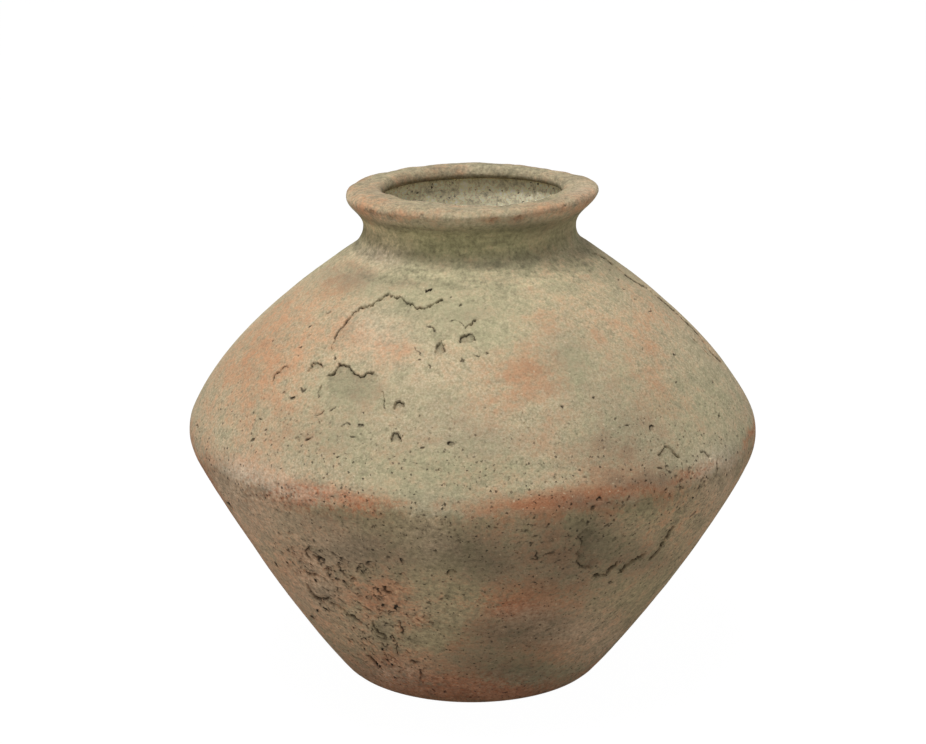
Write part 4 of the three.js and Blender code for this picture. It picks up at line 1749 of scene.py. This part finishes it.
@dataclass(frozen=True)
class FiredClay:
    """The finish of one section: dry unglazed clay under years of dust, moss and soot, with painted
    shade and highlights laid over it.
    """

    name: str
    buff: Tint = (188, 169, 137)
    pale: Tint = (206, 190, 160)
    moss: Tint = (175, 168, 134)
    rust: Tint = (189, 142, 107)
    burnt: Tint = (228, 217, 208)
    # A warm tint painted over the neck, standing for the colour of its shade under the lip.
    stale: Tint = (250, 249, 232)
    ember: Tint = (186, 118, 80)
    ash: Tint = (119, 111, 92)
    dust: Tint = (218, 200, 173)
    soot: Tint = (44, 36, 26)
    inner: Tint = (255, 246, 214)
    roughness: float = 0.92
    shine: float = 0.18
    moss_cover: float = 0.36
    rust_cover: float = 0.17
    ash_strength: float = 0.85
    grit_strength: float = 0.55
    rust_noises: Triple = (1.5, 1.4, 0.8)
    moss_noises: Triple = (1.2, -1.2, -0.6)
    ash_noises: Triple = (0.5, 1.5, 0.8)
    mottle: float = 1.0
    streaks: float = 0.35
    streak_scale: float = 270.0
    streak_noise: Triple = (3.0, 0.6, 53.0)
    streak_stretch: Triple = (0.12, 0.12, 1.0)
    grain: float = 1.2
    fine_swing: float = 0.85
    middle_share: float = 0.7
    lip_shade: float = -0.27
    highlight_gain: float = -1.4
    few_pores: float = 0.45
    many_pores: float = 0.8
    sound_pores: float = 0.15
    bump_strength: float = 0.65
    bump_height: float = 0.0011
    lump_share: float = 1.1
    pore_share: float = 0.9
    pale_band: Pair = (0.35, 0.68)
    ember_band: Pair = (0.72, 1.0)
    dust_band: Pair = (0.2, 0.6)
    inner_band: Pair = (-0.2, 0.46)
    cover_band: Pair = (0.0, 1.1)
    dot_bends: float = 2.2
    dot_bend: float = 0.8
    dot_depth: Pair = (-0.4, 0.9)
    dot_edge: Pair = (-0.03, 0.05)
    seed: float = 3.0

    def make(self) -> bpy.types.Material:
        """Return the node material."""
        material = bpy.data.materials.new(self.name)
        bench = fresh_bench(material)
        where = bench.node("ShaderNodeTexCoord").outputs["Object"]
        shader = bench.node("ShaderNodeBsdfPrincipled", {
            "Base Color": self._colour(bench, where),
            "Roughness": self.roughness,
            "Specular IOR Level": self.shine,
            "Normal": self._bump(bench, where),
        })
        bench.node("ShaderNodeOutputMaterial", {"Surface": shader.outputs["BSDF"]})
        return material

    @staticmethod
    def _mask(bench: Bench, name: str) -> Socket:
        """Return a mask that the mesh carries by its name."""
        return bench.node("ShaderNodeAttribute", attribute_name=name).outputs["Fac"]

    def _noise(self, bench: Bench, where: Socket, name: str) -> Socket:
        """Return one of the noises in the clay."""
        scale, detail, rough, step = CLAY_NOISES[name]
        return bench.noise(where, scale, detail, rough, self.seed + step)

    def _colour(self, bench: Bench, where: Socket) -> Socket:
        """Lay the tints over each other, broken up by mottling at several sizes."""
        fine, small, middle, broad, mossy = (
            self._noise(bench, where, name) for name in ("fine", "small", "middle", "broad", "mossy"))
        rusty = self._sum(bench, (small, middle, broad), self.rust_noises, self.mottle)
        green = self._sum(bench, (mossy, middle, broad), self.moss_noises, self.mottle)
        ashen = self._sum(bench, (fine, middle, small), self.ash_noises)
        rust = self._cover(bench, "rust", self.rust_cover, rusty)
        ember = bench.times(bench.ramp(self._mask(bench, "rust"), *self.ember_band), rust)
        moss = self._cover(bench, "moss", self.moss_cover, green)
        ash = bench.times(self._cover(bench, "ash", 0.0, ashen), self.ash_strength)
        dust = bench.times(self._mask(bench, "dust"), bench.ramp(mossy, *self.dust_band))
        grit = bench.times(self._dots(bench, where, "grit"), self.grit_strength)
        inside = bench.math("SUBTRACT", 1.0, self._mask(bench, "bare"))
        inner = bench.math("MULTIPLY", inside, bench.ramp(small, *self.inner_band), True)
        shade = self._shade(bench, where, (fine, small, middle))
        # Below 0 the dirt mask is a painted highlight along the edges of marks; above 0 it is soot
        # and painted shadow.
        painted_highlight = bench.math("MULTIPLY", self._mask(bench, "dirt"), self.highlight_gain, True)
        dirt = bench.math("MULTIPLY", self._mask(bench, "dirt"), 1.0, True)
        layers = (
            (bench.ramp(fine, *self.pale_band), self.pale, Blend.COVER),
            (rust, self.rust, Blend.COVER),
            (ember, self.ember, Blend.COVER),
            (moss, self.moss, Blend.COVER),
            (ash, self.ash, Blend.COVER),
            (dust, self.dust, Blend.COVER),
            (grit, self.pale, Blend.COVER),
            (self._mask(bench, "umber"), self.burnt, Blend.GLAZE),
            # Painted tint of the neck's shade under the lip.
            (self._mask(bench, "stale"), self.stale, Blend.GLAZE),
            (inner, self.inner, Blend.COVER),
            (1.0, shade, Blend.GLAZE),
            (self._pores(bench, where), self.soot, Blend.COVER),
            # Painted highlights, then soot with painted shadow, along marks and the lip's inner edge.
            (painted_highlight, self.dust, Blend.COVER),
            (dirt, self.soot, Blend.COVER),
        )
        tint = clay_colour(*self.buff)
        for share, colour, blend in layers:
            if isinstance(colour, tuple):
                colour = clay_colour(*colour)
            tint = bench.mix(share, tint, colour, blend)
        return tint

    def _shade(self, bench: Bench, where: Socket, noises: tuple[Socket, ...]) -> Socket:
        """Make the clay lighter and darker from place to place, and darker about the lip: over its
        top, and as a painted shade just under it.

        Args:
            bench: The bench of the tree.
            where: The place on the object.
            noises: The fine, the small and the middle noise.

        Returns:
            The shade as a grey colour.
        """
        flat = bench.node("ShaderNodeVectorMath", {0: where, 1: self.streak_stretch},
                          operation="MULTIPLY")
        detail, rough, step = self.streak_noise
        brushed = bench.noise(flat.outputs[0], self.streak_scale, detail, rough, self.seed + step)
        swings = (self.fine_swing, self.grain, self.middle_share * self.grain, self.streaks)
        shade = bench.times(
            *(bench.line(noise, swing, 1.0 - swing / 2.0)
              for noise, swing in zip((*noises, brushed), swings)),
            bench.line(self._mask(bench, "lip"), self.lip_shade, 1.0))
        return bench.join(shade, shade, shade)

    @staticmethod
    def _sum(bench: Bench, noises: tuple[Socket, ...], weights: Triple,
             mottle: float = 1.0) -> Socket:
        """Return the weighted sum of noises about a half, with the first two mottled."""
        levels = (weights[0] * mottle, weights[1] * mottle, weights[2])
        return bench.plus(*(bench.times(bench.math("SUBTRACT", noise, 0.5), level)
                            for noise, level in zip(noises, levels)))

    def _cover(self, bench: Bench, name: str, ground: float, broken: Socket) -> Socket:
        """Return how far a tint covers, from its mask, its ground level and its break-up."""
        level = bench.plus(self._mask(bench, name), ground, broken)
        return bench.ramp(level, *self.cover_band)

    def _dots(self, bench: Bench, where: Socket, name: str) -> Socket:
        """Scatter small uneven dots.

        Args:
            bench: The bench of the tree.
            where: The place on the object.
            name: Which of the dots in the clay.

        Returns:
            A mask that is 1 inside a dot.
        """
        scale, radius, share = CLAY_DOTS[name]
        inputs = {"Vector": where, "Scale": scale * self.dot_bends}
        bend = bench.node("ShaderNodeTexNoise", inputs).outputs["Color"]
        inputs = {0: bend, 1: (self.dot_bend / scale,) * 3, 2: where}
        bent = bench.node("ShaderNodeVectorMath", inputs, operation="MULTIPLY_ADD").outputs[0]
        inputs = {"Vector": bent, "Scale": scale}
        cells = bench.node("ShaderNodeTexVoronoi", inputs, voronoi_dimensions="3D").outputs
        chance, size, dark = bench.node("ShaderNodeSeparateColor", {0: cells["Color"]}).outputs
        present = bench.math("LESS_THAN", chance, share)
        inside = bench.math("SUBTRACT", bench.times(size, radius), cells["Distance"])
        depth = bench.ramp(dark, *self.dot_depth)
        return bench.times(bench.ramp(inside, *self.dot_edge), present, depth)

    def _pores(self, bench: Bench, where: Socket) -> Socket:
        """Return the mask of the dark pores, closer together below the belly."""
        few = bench.times(self._dots(bench, where, "few"), self.few_pores)
        many = bench.times(self._dots(bench, where, "many"), self.many_pores)
        pitted = bench.line(self._mask(bench, "pitted"), 1.0 - self.sound_pores, self.sound_pores)
        return bench.times(bench.math("MAXIMUM", few, many), pitted)

    def _bump(self, bench: Bench, where: Socket) -> Socket:
        """Return the fine grain of the dry clay as a bent normal."""
        lumps = bench.times(self._noise(bench, where, "lumps"), self.lump_share)
        pores = bench.times(self._pores(bench, where), self.pore_share)
        height = bench.plus(self._noise(bench, where, "grain"), lumps)
        return bench.node("ShaderNodeBump", {
            "Strength": self.bump_strength,
            "Distance": self.bump_height,
            "Height": bench.math("SUBTRACT", height, pores),
        }).outputs["Normal"]


@dataclass(frozen=True)
class HandWork:
    """How unevenly a section was made, in millimetres, as the turning tree takes it."""

    lump_height: float = 0.5
    lump_size: float = 30.0
    grit_height: float = 0.1
    grit_size: float = 4.0
    ring_height: float = 0.35
    ring_spacing: float = 9.0
    press_depth: float = 0.0
    presses: int = 0
    seed: int = 5

    def inputs(self) -> dict[str, float]:
        """Return the values by the names of the turning tree's inputs."""
        return {part.name.replace("_", " ").title(): float(getattr(self, part.name))
                for part in fields(self)}


class TurningTree:
    """The node tree that turns a flat sheet round the axis and weathers it."""

    attributes = ("turn", "radius", "height", "lean_out", "lean_up", "wear", "rings", "relief",
                  "drift", "lift")
    lump_noise = (1.5, 0.5)
    grit_noise = (3.0, 0.6)
    ring_wobble = 9.0
    press_edge = 3.0

    def __init__(self) -> None:
        """Build the tree once for all the sections."""
        self.tree = bpy.data.node_groups.new("turn_and_weather", "GeometryNodeTree")
        self.identifiers: dict[str, str] = {}
        self._sockets()
        self._nodes()

    def _sockets(self) -> None:
        """Make the tree's named inputs and its output."""
        face = self.tree.interface
        face.new_socket("Sheet", in_out="INPUT", socket_type="NodeSocketGeometry")
        for name in (*HandWork().inputs(), "Scale"):
            face.new_socket(name, in_out="INPUT", socket_type="NodeSocketFloat")
        face.new_socket("Clay", in_out="INPUT", socket_type="NodeSocketMaterial")
        face.new_socket("Section", in_out="OUTPUT", socket_type="NodeSocketGeometry")
        for item in face.items_tree:
            if item.in_out == "INPUT":
                self.identifiers[item.name] = item.identifier

    def _nodes(self) -> None:
        """Lay out the nodes."""
        bench = Bench(self.tree)
        given = bench.node("NodeGroupInput").outputs
        read = {
            name: bench.node("GeometryNodeInputNamedAttribute", {"Name": name},
                             data_type="FLOAT").outputs["Attribute"]
            for name in self.attributes
        }
        radius, height = read["radius"], read["height"]
        cosine, sine = bench.math("COSINE", read["turn"]), bench.math("SINE", read["turn"])
        place = bench.join(bench.times(radius, cosine), bench.times(radius, sine), height)
        rise = self._rise(bench, given, read, place)
        out = bench.line(read["lean_out"], rise, radius)
        up = bench.line(read["lean_up"], rise, height)
        moved = bench.join(bench.plus(bench.times(out, cosine), read["drift"]),
                           bench.times(out, sine), bench.plus(up, read["lift"]))
        inputs = {"Geometry": given["Sheet"], "Position": bench.scaled(moved, given["Scale"])}
        put = bench.node("GeometryNodeSetPosition", inputs)
        real = bench.node("GeometryNodeRealizeInstances", {0: put.outputs[0]})
        inputs = {"Geometry": real.outputs[0], "Material": given["Clay"]}
        dress = bench.node("GeometryNodeSetMaterial", inputs)
        bench.node("NodeGroupOutput", {"Section": dress.outputs[0]})

    def _rise(self, bench: Bench, given: object, read: dict[str, Socket],
              place: Socket) -> Socket:
        """Return how far each point stands off its even section, outward.

        Args:
            bench: The bench of the tree.
            given: The tree's inputs.
            read: The sheet's attributes.
            place: Each point's place on the even section.

        Returns:
            The height in millimetres.
        """
        lump = bench.noise(place, bench.math("DIVIDE", 1.0, given["Lump Size"]),
                           *self.lump_noise, given["Seed"])
        grit = bench.noise(place, bench.math("DIVIDE", 1.0, given["Grit Size"]),
                           *self.grit_noise, given["Seed"])
        rise = bench.plus(bench.swing(lump, given["Lump Height"]),
                          bench.swing(grit, given["Grit Height"]))
        ring = bench.math("DIVIDE", read["height"], given["Ring Spacing"])
        ring = bench.plus(bench.times(ring, 2.0 * math.pi), bench.times(lump, self.ring_wobble))
        ring = bench.times(bench.math("SINE", ring), given["Ring Height"])
        rise = bench.plus(bench.times(rise, read["wear"]), bench.times(ring, read["rings"]))
        half = bench.times(read["turn"], given["Presses"], 0.5)
        press = bench.math("ABSOLUTE", bench.math("SINE", half))
        press = bench.math("POWER", press, self.press_edge)
        press = bench.times(press, given["Press Depth"], read["rings"])
        rise = bench.math("SUBTRACT", rise, press)
        return bench.math("SUBTRACT", rise, read["relief"])

    def turn(self, sheet: bpy.types.Object, work: HandWork, clay: bpy.types.Material) -> None:
        """Turn a sheet into a plain mesh of its own.

        Args:
            sheet: The object that holds the flat sheet and its attributes.
            work: How uneven it is.
            clay: The material it gets.
        """
        modifier = sheet.modifiers.new("turn_and_weather", "NODES")
        modifier.node_group = self.tree
        for name, value in {**work.inputs(), "Scale": METRES, "Clay": clay}.items():
            modifier[self.identifiers[name]] = value
        depsgraph = bpy.context.evaluated_depsgraph_get()
        mesh = bpy.data.meshes.new_from_object(
            sheet.evaluated_get(depsgraph), preserve_all_data_layers=True, depsgraph=depsgraph)
        flat = sheet.data
        sheet.modifiers.clear()
        sheet.data = mesh
        bpy.data.meshes.remove(flat)
        for name in self.attributes:
            spare = mesh.attributes.get(name)
            if spare is not None:
                mesh.attributes.remove(spare)


@dataclass
class UrnSection:
    """One section of the urn: its place in the frame, its sheet and its finish."""

    name: str
    node: str
    slot: str
    legs: list[Leg]
    finish: FiredClay
    closed: bool = True
    work: HandWork = field(default_factory=HandWork)
    sharp_angle: float = math.radians(74.0)
    level_foot: Pair = (0.5, 9.0)

    def build(self, weathering: Weathering, tree: TurningTree) -> bpy.types.Object:
        """Build the section's mesh and dress it.

        Args:
            weathering: The weathered outer skin.
            tree: The turning tree.

        Returns:
            The finished piece, riding on its body.
        """
        section = Section(self.legs, self.closed)
        has_skin = any(leg.stations is not None for leg in self.legs)
        sheet = TurnedSheet(section, weathering.map if has_skin else None)
        table = section.read(sheet.run)
        angle = sheet.radians(sheet.angle)
        piece = self._flat_sheet(sheet, table, angle)
        self._set_masks(piece.data, weathering, table, angle)
        self._set_turning(piece.data, weathering, table, angle)
        tree.turn(piece, self.work, self.finish.make())
        piece.data.shade_smooth()
        piece.data.set_sharp_from_angle(angle=self.sharp_angle)
        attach(piece, BODY)
        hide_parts(self.node)
        return piece

    def _flat_sheet(self, sheet: TurnedSheet, table: Array,
                    angle: Array) -> bpy.types.Object:
        """Return an object that holds the sheet laid out flat."""
        mesh = bpy.data.meshes.new(self.name)
        corners = np.column_stack([angle * table[:, 0], sheet.run, np.zeros(len(angle))])
        count = len(sheet.triangles)
        mesh.vertices.add(len(corners))
        mesh.vertices.foreach_set("co", corners.astype(np.float32).ravel())
        mesh.loops.add(count * 3)
        mesh.loops.foreach_set("vertex_index", sheet.triangles.astype(np.int32).ravel())
        mesh.polygons.add(count)
        mesh.polygons.foreach_set("loop_start", np.arange(0, count * 3, 3, dtype=np.int32))
        mesh.update(calc_edges=True)
        piece = bpy.data.objects.new(self.name, mesh)
        bpy.context.collection.objects.link(piece)
        return piece

    @staticmethod
    def _store(mesh: bpy.types.Mesh, name: str, values: Array) -> None:
        """Keep one number for each corner of the mesh under a name."""
        layer = mesh.attributes.new(name, "FLOAT", "POINT")
        layer.data.foreach_set("value", values.astype(np.float32))

    def _set_masks(self, mesh: bpy.types.Mesh, weathering: Weathering, table: Array,
                   angle: Array) -> None:
        """Keep the colour masks and the dirt, with its painted shade and highlights, with the mesh.
        """
        radius, height, out, up, station, outer, *_ = table.T
        places, normals = turned(radius, height, angle), turned(out, up, angle)
        masks = weathering.colour_masks(places, normals, station, outer, angle)
        masks["dirt"] = weathering.map.read(weathering.map.dirt, angle, station) * outer
        for name, values in masks.items():
            self._store(mesh, name, values)

    def _set_turning(self, mesh: bpy.types.Mesh, weathering: Weathering, table: Array,
                     angle: Array) -> None:
        """Keep what the turning tree reads with the mesh."""
        form = weathering.skin.form
        radius, height, out, up, station, outer, wear, rings = table.T
        relief = weathering.map.read(weathering.map.depth, angle, station) * outer
        clear = smooth(height, *self.level_foot)
        values = (angle, radius, height, out, up, wear * clear, rings, relief * clear,
                  form.drift(height), form.lift(radius * np.cos(angle), height))
        for name, numbers in zip(TurningTree.attributes, values):
            self._store(mesh, name, numbers)


@dataclass
class Urn:
    """The urn's sections, in the order that a potter joins them, and how far apart rows lie."""

    skin: Skin
    skin_row: float = 3.1
    inner_row: float = 7.0
    floor_row: float = 6.0
    fillet_row: float = 3.0
    coil_back_row: float = 4.0
    coil_row: float = 2.2
    coil_edge_row: float = 1.2
    neck_row: float = 1.9
    neck_inner_row: float = 2.6
    lip_row: float = 1.5
    bore_row: float = 1.6
    outer_step: float = 0.35
    inner_step: float = 0.7
    leg_points: int = 60
    fillet_steps: int = 40
    bore_points: int = 12

    def _outer(self, low: float, high: float, row: float) -> Leg:
        """Return the leg of the outer skin between two stations."""
        stations = np.linspace(low, high, max(2, int((high - low) / self.outer_step)))
        return Leg(self.skin.place(stations), self.skin.facing(stations), row, stations)

    def _inner(self, high: float, low: float, row: float) -> Leg:
        """Return the leg of the inner face from one station down to another."""
        stations = np.linspace(high, low, max(2, int((high - low) / self.inner_step)))
        return Leg(self.skin.inside(stations), -self.skin.facing(stations), row, wear=0.8,
                   rings=1.0)

    def _straight(self, start: Array, end: Array, row: float, wear: float) -> Leg:
        """Return a straight leg between two points of the section."""
        share = np.linspace(0.0, 1.0, self.leg_points)[:, None]
        points = start * (1.0 - share) + end * share
        return Leg(points, line_normals(points), row, wear=wear)

    def _wall_legs(self, low: float, high: float) -> list[Leg]:
        """Return the four legs of a wall between two seams."""
        outer = self._outer(low, high, self.skin_row)
        inner = self._inner(high, low, self.inner_row)
        return [outer, face_leg(outer.points[-1], inner.points[0]),
                inner, face_leg(inner.points[-1], outer.points[0])]

    def base_slab(self) -> UrnSection:
        """Return the floor: a disc with a rounded foot and a turned-up edge."""
        form, skin = self.skin.form, self.skin
        foot_start = np.array([form.foot_radius - form.foot_edge, 0.0])
        outer = self._outer(0.0, skin.floor_seam, self.skin_row)
        rise = form.floor_fillet * math.cos(form.foot_lean)
        stations = [skin.floor_seam, skin.inside_station(form.floor + rise),
                    skin.inside_station(form.floor)]
        seam_inner, top, corner = (skin.inside(np.array([station]))[0] for station in stations)
        fillet_end = np.array([corner[0] - form.floor_fillet, form.floor])
        fillet = np.concatenate([[seam_inner], bezier([top, corner, fillet_end], self.fillet_steps)])
        legs = [
            self._straight(np.zeros(2), foot_start, self.floor_row, 0.0),
            outer,
            face_leg(outer.points[-1], seam_inner),
            Leg(fillet, line_normals(fillet), self.fillet_row, wear=0.6),
            self._straight(fillet_end, np.array([0.0, form.floor]), self.floor_row, 0.6),
        ]
        finish = FiredClay("foot_clay", moss_cover=0.24, rust_cover=0.3, mottle=1.4, grain=1.6)
        return UrnSection("fired_base", "base_slab", "foot_clay", legs, finish, closed=False)

    def lower_wall(self) -> UrnSection:
        """Return the wall that spreads from the floor to the belly."""
        legs = self._wall_legs(self.skin.floor_seam, self.skin.belly_seam)
        finish = FiredClay("lower_clay", moss_cover=0.34, rust_cover=0.22, mottle=1.6, grain=2.0)
        return UrnSection("fired_lower_wall", "lower_wall", "lower_clay", legs, finish)

    def belly_coil(self) -> UrnSection:
        """Return the coil pressed into the belly seam from inside."""
        form, skin = self.skin.form, self.skin
        share = np.linspace(-1.0, 1.0, self.leg_points)
        middle = skin.belly_seam + share * form.coil_height / 2.0
        swell = (form.coil_thickness - form.coil_edge) * np.sqrt(1.0 - share ** 2)
        backed = skin.inside(middle, form.slip)
        swollen = skin.inside(middle, form.slip + (form.coil_edge + swell))[::-1]
        legs = [
            Leg(backed, line_normals(backed), self.coil_back_row, wear=0.0),
            face_leg(backed[-1], swollen[0], self.coil_edge_row),
            Leg(swollen, line_normals(swollen), self.coil_row, wear=0.9, rings=1.0),
            face_leg(swollen[-1], backed[0], self.coil_edge_row),
        ]
        work = HandWork(ring_height=0.0, press_depth=1.3, presses=46)
        finish = FiredClay("inner_clay")
        return UrnSection("fired_coil", "belly_coil", "inner_clay", legs, finish, work=work)

    def shoulder_wall(self) -> UrnSection:
        """Return the wall that draws in from the belly to the neck."""
        legs = self._wall_legs(self.skin.belly_seam, self.skin.neck_seam)
        finish = FiredClay("shoulder_clay")
        return UrnSection("fired_shoulder", "shoulder_wall", "shoulder_clay", legs, finish)

    def neck_collar(self) -> UrnSection:
        """Return the neck, drawn up from the shoulder and flared under the lip."""
        form, skin = self.skin.form, self.skin
        outer = self._outer(skin.neck_seam, skin.lip_seam, self.neck_row)
        below = self._inner(skin.fillet_end, skin.neck_seam, self.neck_inner_row).points
        bore_top = np.array([form.neck_bore, outer.points[-1, 1]])
        share = np.linspace(0.0, 1.0, self.bore_points)[:-1, None]
        points = np.concatenate([bore_top * (1.0 - share) + below[0] * share, below])
        inner = Leg(points, line_normals(points), self.neck_inner_row, wear=0.9, rings=0.5)
        legs = [outer, face_leg(outer.points[-1], bore_top),
                inner, face_leg(points[-1], outer.points[0])]
        finish = FiredClay("neck_clay", moss_cover=0.46, streaks=1.5, streak_scale=120.0, grain=1.9)
        return UrnSection("fired_neck", "neck_collar", "neck_clay", legs, finish)

    def rim_lip(self) -> UrnSection:
        """Return the lip, rolled over an oval and tucked back to the bore."""
        form, skin = self.skin.form, self.skin
        outer = self._outer(skin.lip_seam, skin.end, self.lip_row)
        bore_low = np.array([form.neck_bore, outer.points[0, 1]])
        bore = self._straight(outer.points[-1], bore_low, self.bore_row, 0.9)
        legs = [outer, bore, face_leg(bore_low, outer.points[0])]
        finish = FiredClay("lip_clay", rust_cover=0.18, streaks=0.7, grain=1.8)
        return UrnSection("fired_lip", "rim_lip", "lip_clay", legs, finish)

    def sections(self) -> list[UrnSection]:
        """Return all the sections from the floor up."""
        return [self.base_slab(), self.lower_wall(), self.belly_coil(), self.shoulder_wall(),
                self.neck_collar(), self.rim_lip()]


@dataclass(frozen=True)
class Studio:
    """A wide pale floor under soft light from overhead."""

    floor_half: float = 9.0
    floor_shade: float = 0.74
    floor_white: float = 0.94
    white_level: float = 1.05
    sky_strength: float = 0.34
    key_power: float = 30.6
    key_width: float = 1.3
    key_depth: float = 0.35
    key_place: Triple = (-0.3, -0.5, 2.0)
    aim: Triple = (0.0, 0.0, 0.2)

    def make(self) -> None:
        """Build the floor, the sky and the lamp."""
        self._floor()
        self._sky()
        self._key()

    @staticmethod
    def _whiten(bench: Bench, plain: Socket, white: Socket, share: float, output: str) -> None:
        """Show the camera, glossy and transmission rays the white one of two shaders.

        Args:
            bench: The bench of the tree.
            plain: The shader that lights and shades the urn.
            white: The shader that the rays see.
            share: How much of the white one they see.
            output: The kind of the tree's output node.
        """
        path = bench.node("ShaderNodeLightPath")
        seen = bench.math("MAXIMUM", path.outputs["Is Camera Ray"], path.outputs["Is Glossy Ray"])
        seen = bench.math("MAXIMUM", seen, path.outputs["Is Transmission Ray"])
        inputs = {0: bench.times(seen, share), 1: plain, 2: white}
        mixed = bench.node("ShaderNodeMixShader", inputs)
        bench.node(output, {"Surface": mixed.outputs[0]})

    def _floor(self) -> None:
        """Lay the floor and whiten it for the camera, with its shadow kept."""
        half = self.floor_half
        mesh = bpy.data.meshes.new("floor")
        corners = [(-half, -half, 0.0), (half, -half, 0.0), (half, half, 0.0), (-half, half, 0.0)]
        mesh.from_pydata(corners, [], [(0, 1, 2, 3)])
        floor = bpy.data.objects.new("floor", mesh)
        bpy.context.collection.objects.link(floor)
        material = bpy.data.materials.new("pale_floor")
        bench = fresh_bench(material)
        grey = (self.floor_shade,) * 3 + (1.0,)
        matt = bench.node("ShaderNodeBsdfDiffuse", {"Color": grey})
        white = bench.node("ShaderNodeEmission", {"Strength": self.white_level})
        self._whiten(bench, matt.outputs[0], white.outputs[0], self.floor_white,
                     "ShaderNodeOutputMaterial")
        mesh.materials.append(material)

    def _sky(self) -> None:
        """Make the even light that comes from all round."""
        world = bpy.data.worlds.new("studio")
        bpy.context.scene.world = world
        bench = fresh_bench(world)
        soft, white = (
            bench.node("ShaderNodeBackground", {"Color": (1.0,) * 4, "Strength": strength})
            for strength in (self.sky_strength, 1.0))
        self._whiten(bench, soft.outputs[0], white.outputs[0], 1.0, "ShaderNodeOutputWorld")

    def _key(self) -> None:
        """Hang the soft lamp overhead."""
        lamp = bpy.data.lights.new("key", "AREA")
        lamp.shape = "RECTANGLE"
        lamp.size = self.key_width
        lamp.size_y = self.key_depth
        lamp.energy = self.key_power
        key = bpy.data.objects.new("key", lamp)
        place = Vector(self.key_place)
        key.location = place
        key.rotation_euler = (Vector(self.aim) - place).to_track_quat("-Z", "Y").to_euler()
        bpy.context.collection.objects.link(key)


def main() -> None:
    """Build the camera, the studio and the urn's sections in order."""
    logging.basicConfig(level=logging.INFO, format="%(name)s: %(message)s")
    bpy.context.scene.view_settings.view_transform = "Standard"
    camera = PhotoCamera()
    camera.make()
    Studio().make()
    skin = Skin(UrnForm())
    weathering = Weathering(skin, camera)
    tree = TurningTree()
    for section in Urn(skin).sections():
        piece = section.build(weathering, tree)
        LOG.info("%s has %d triangles", piece.name, len(piece.data.polygons))


if __name__ == "__main__":
    main()
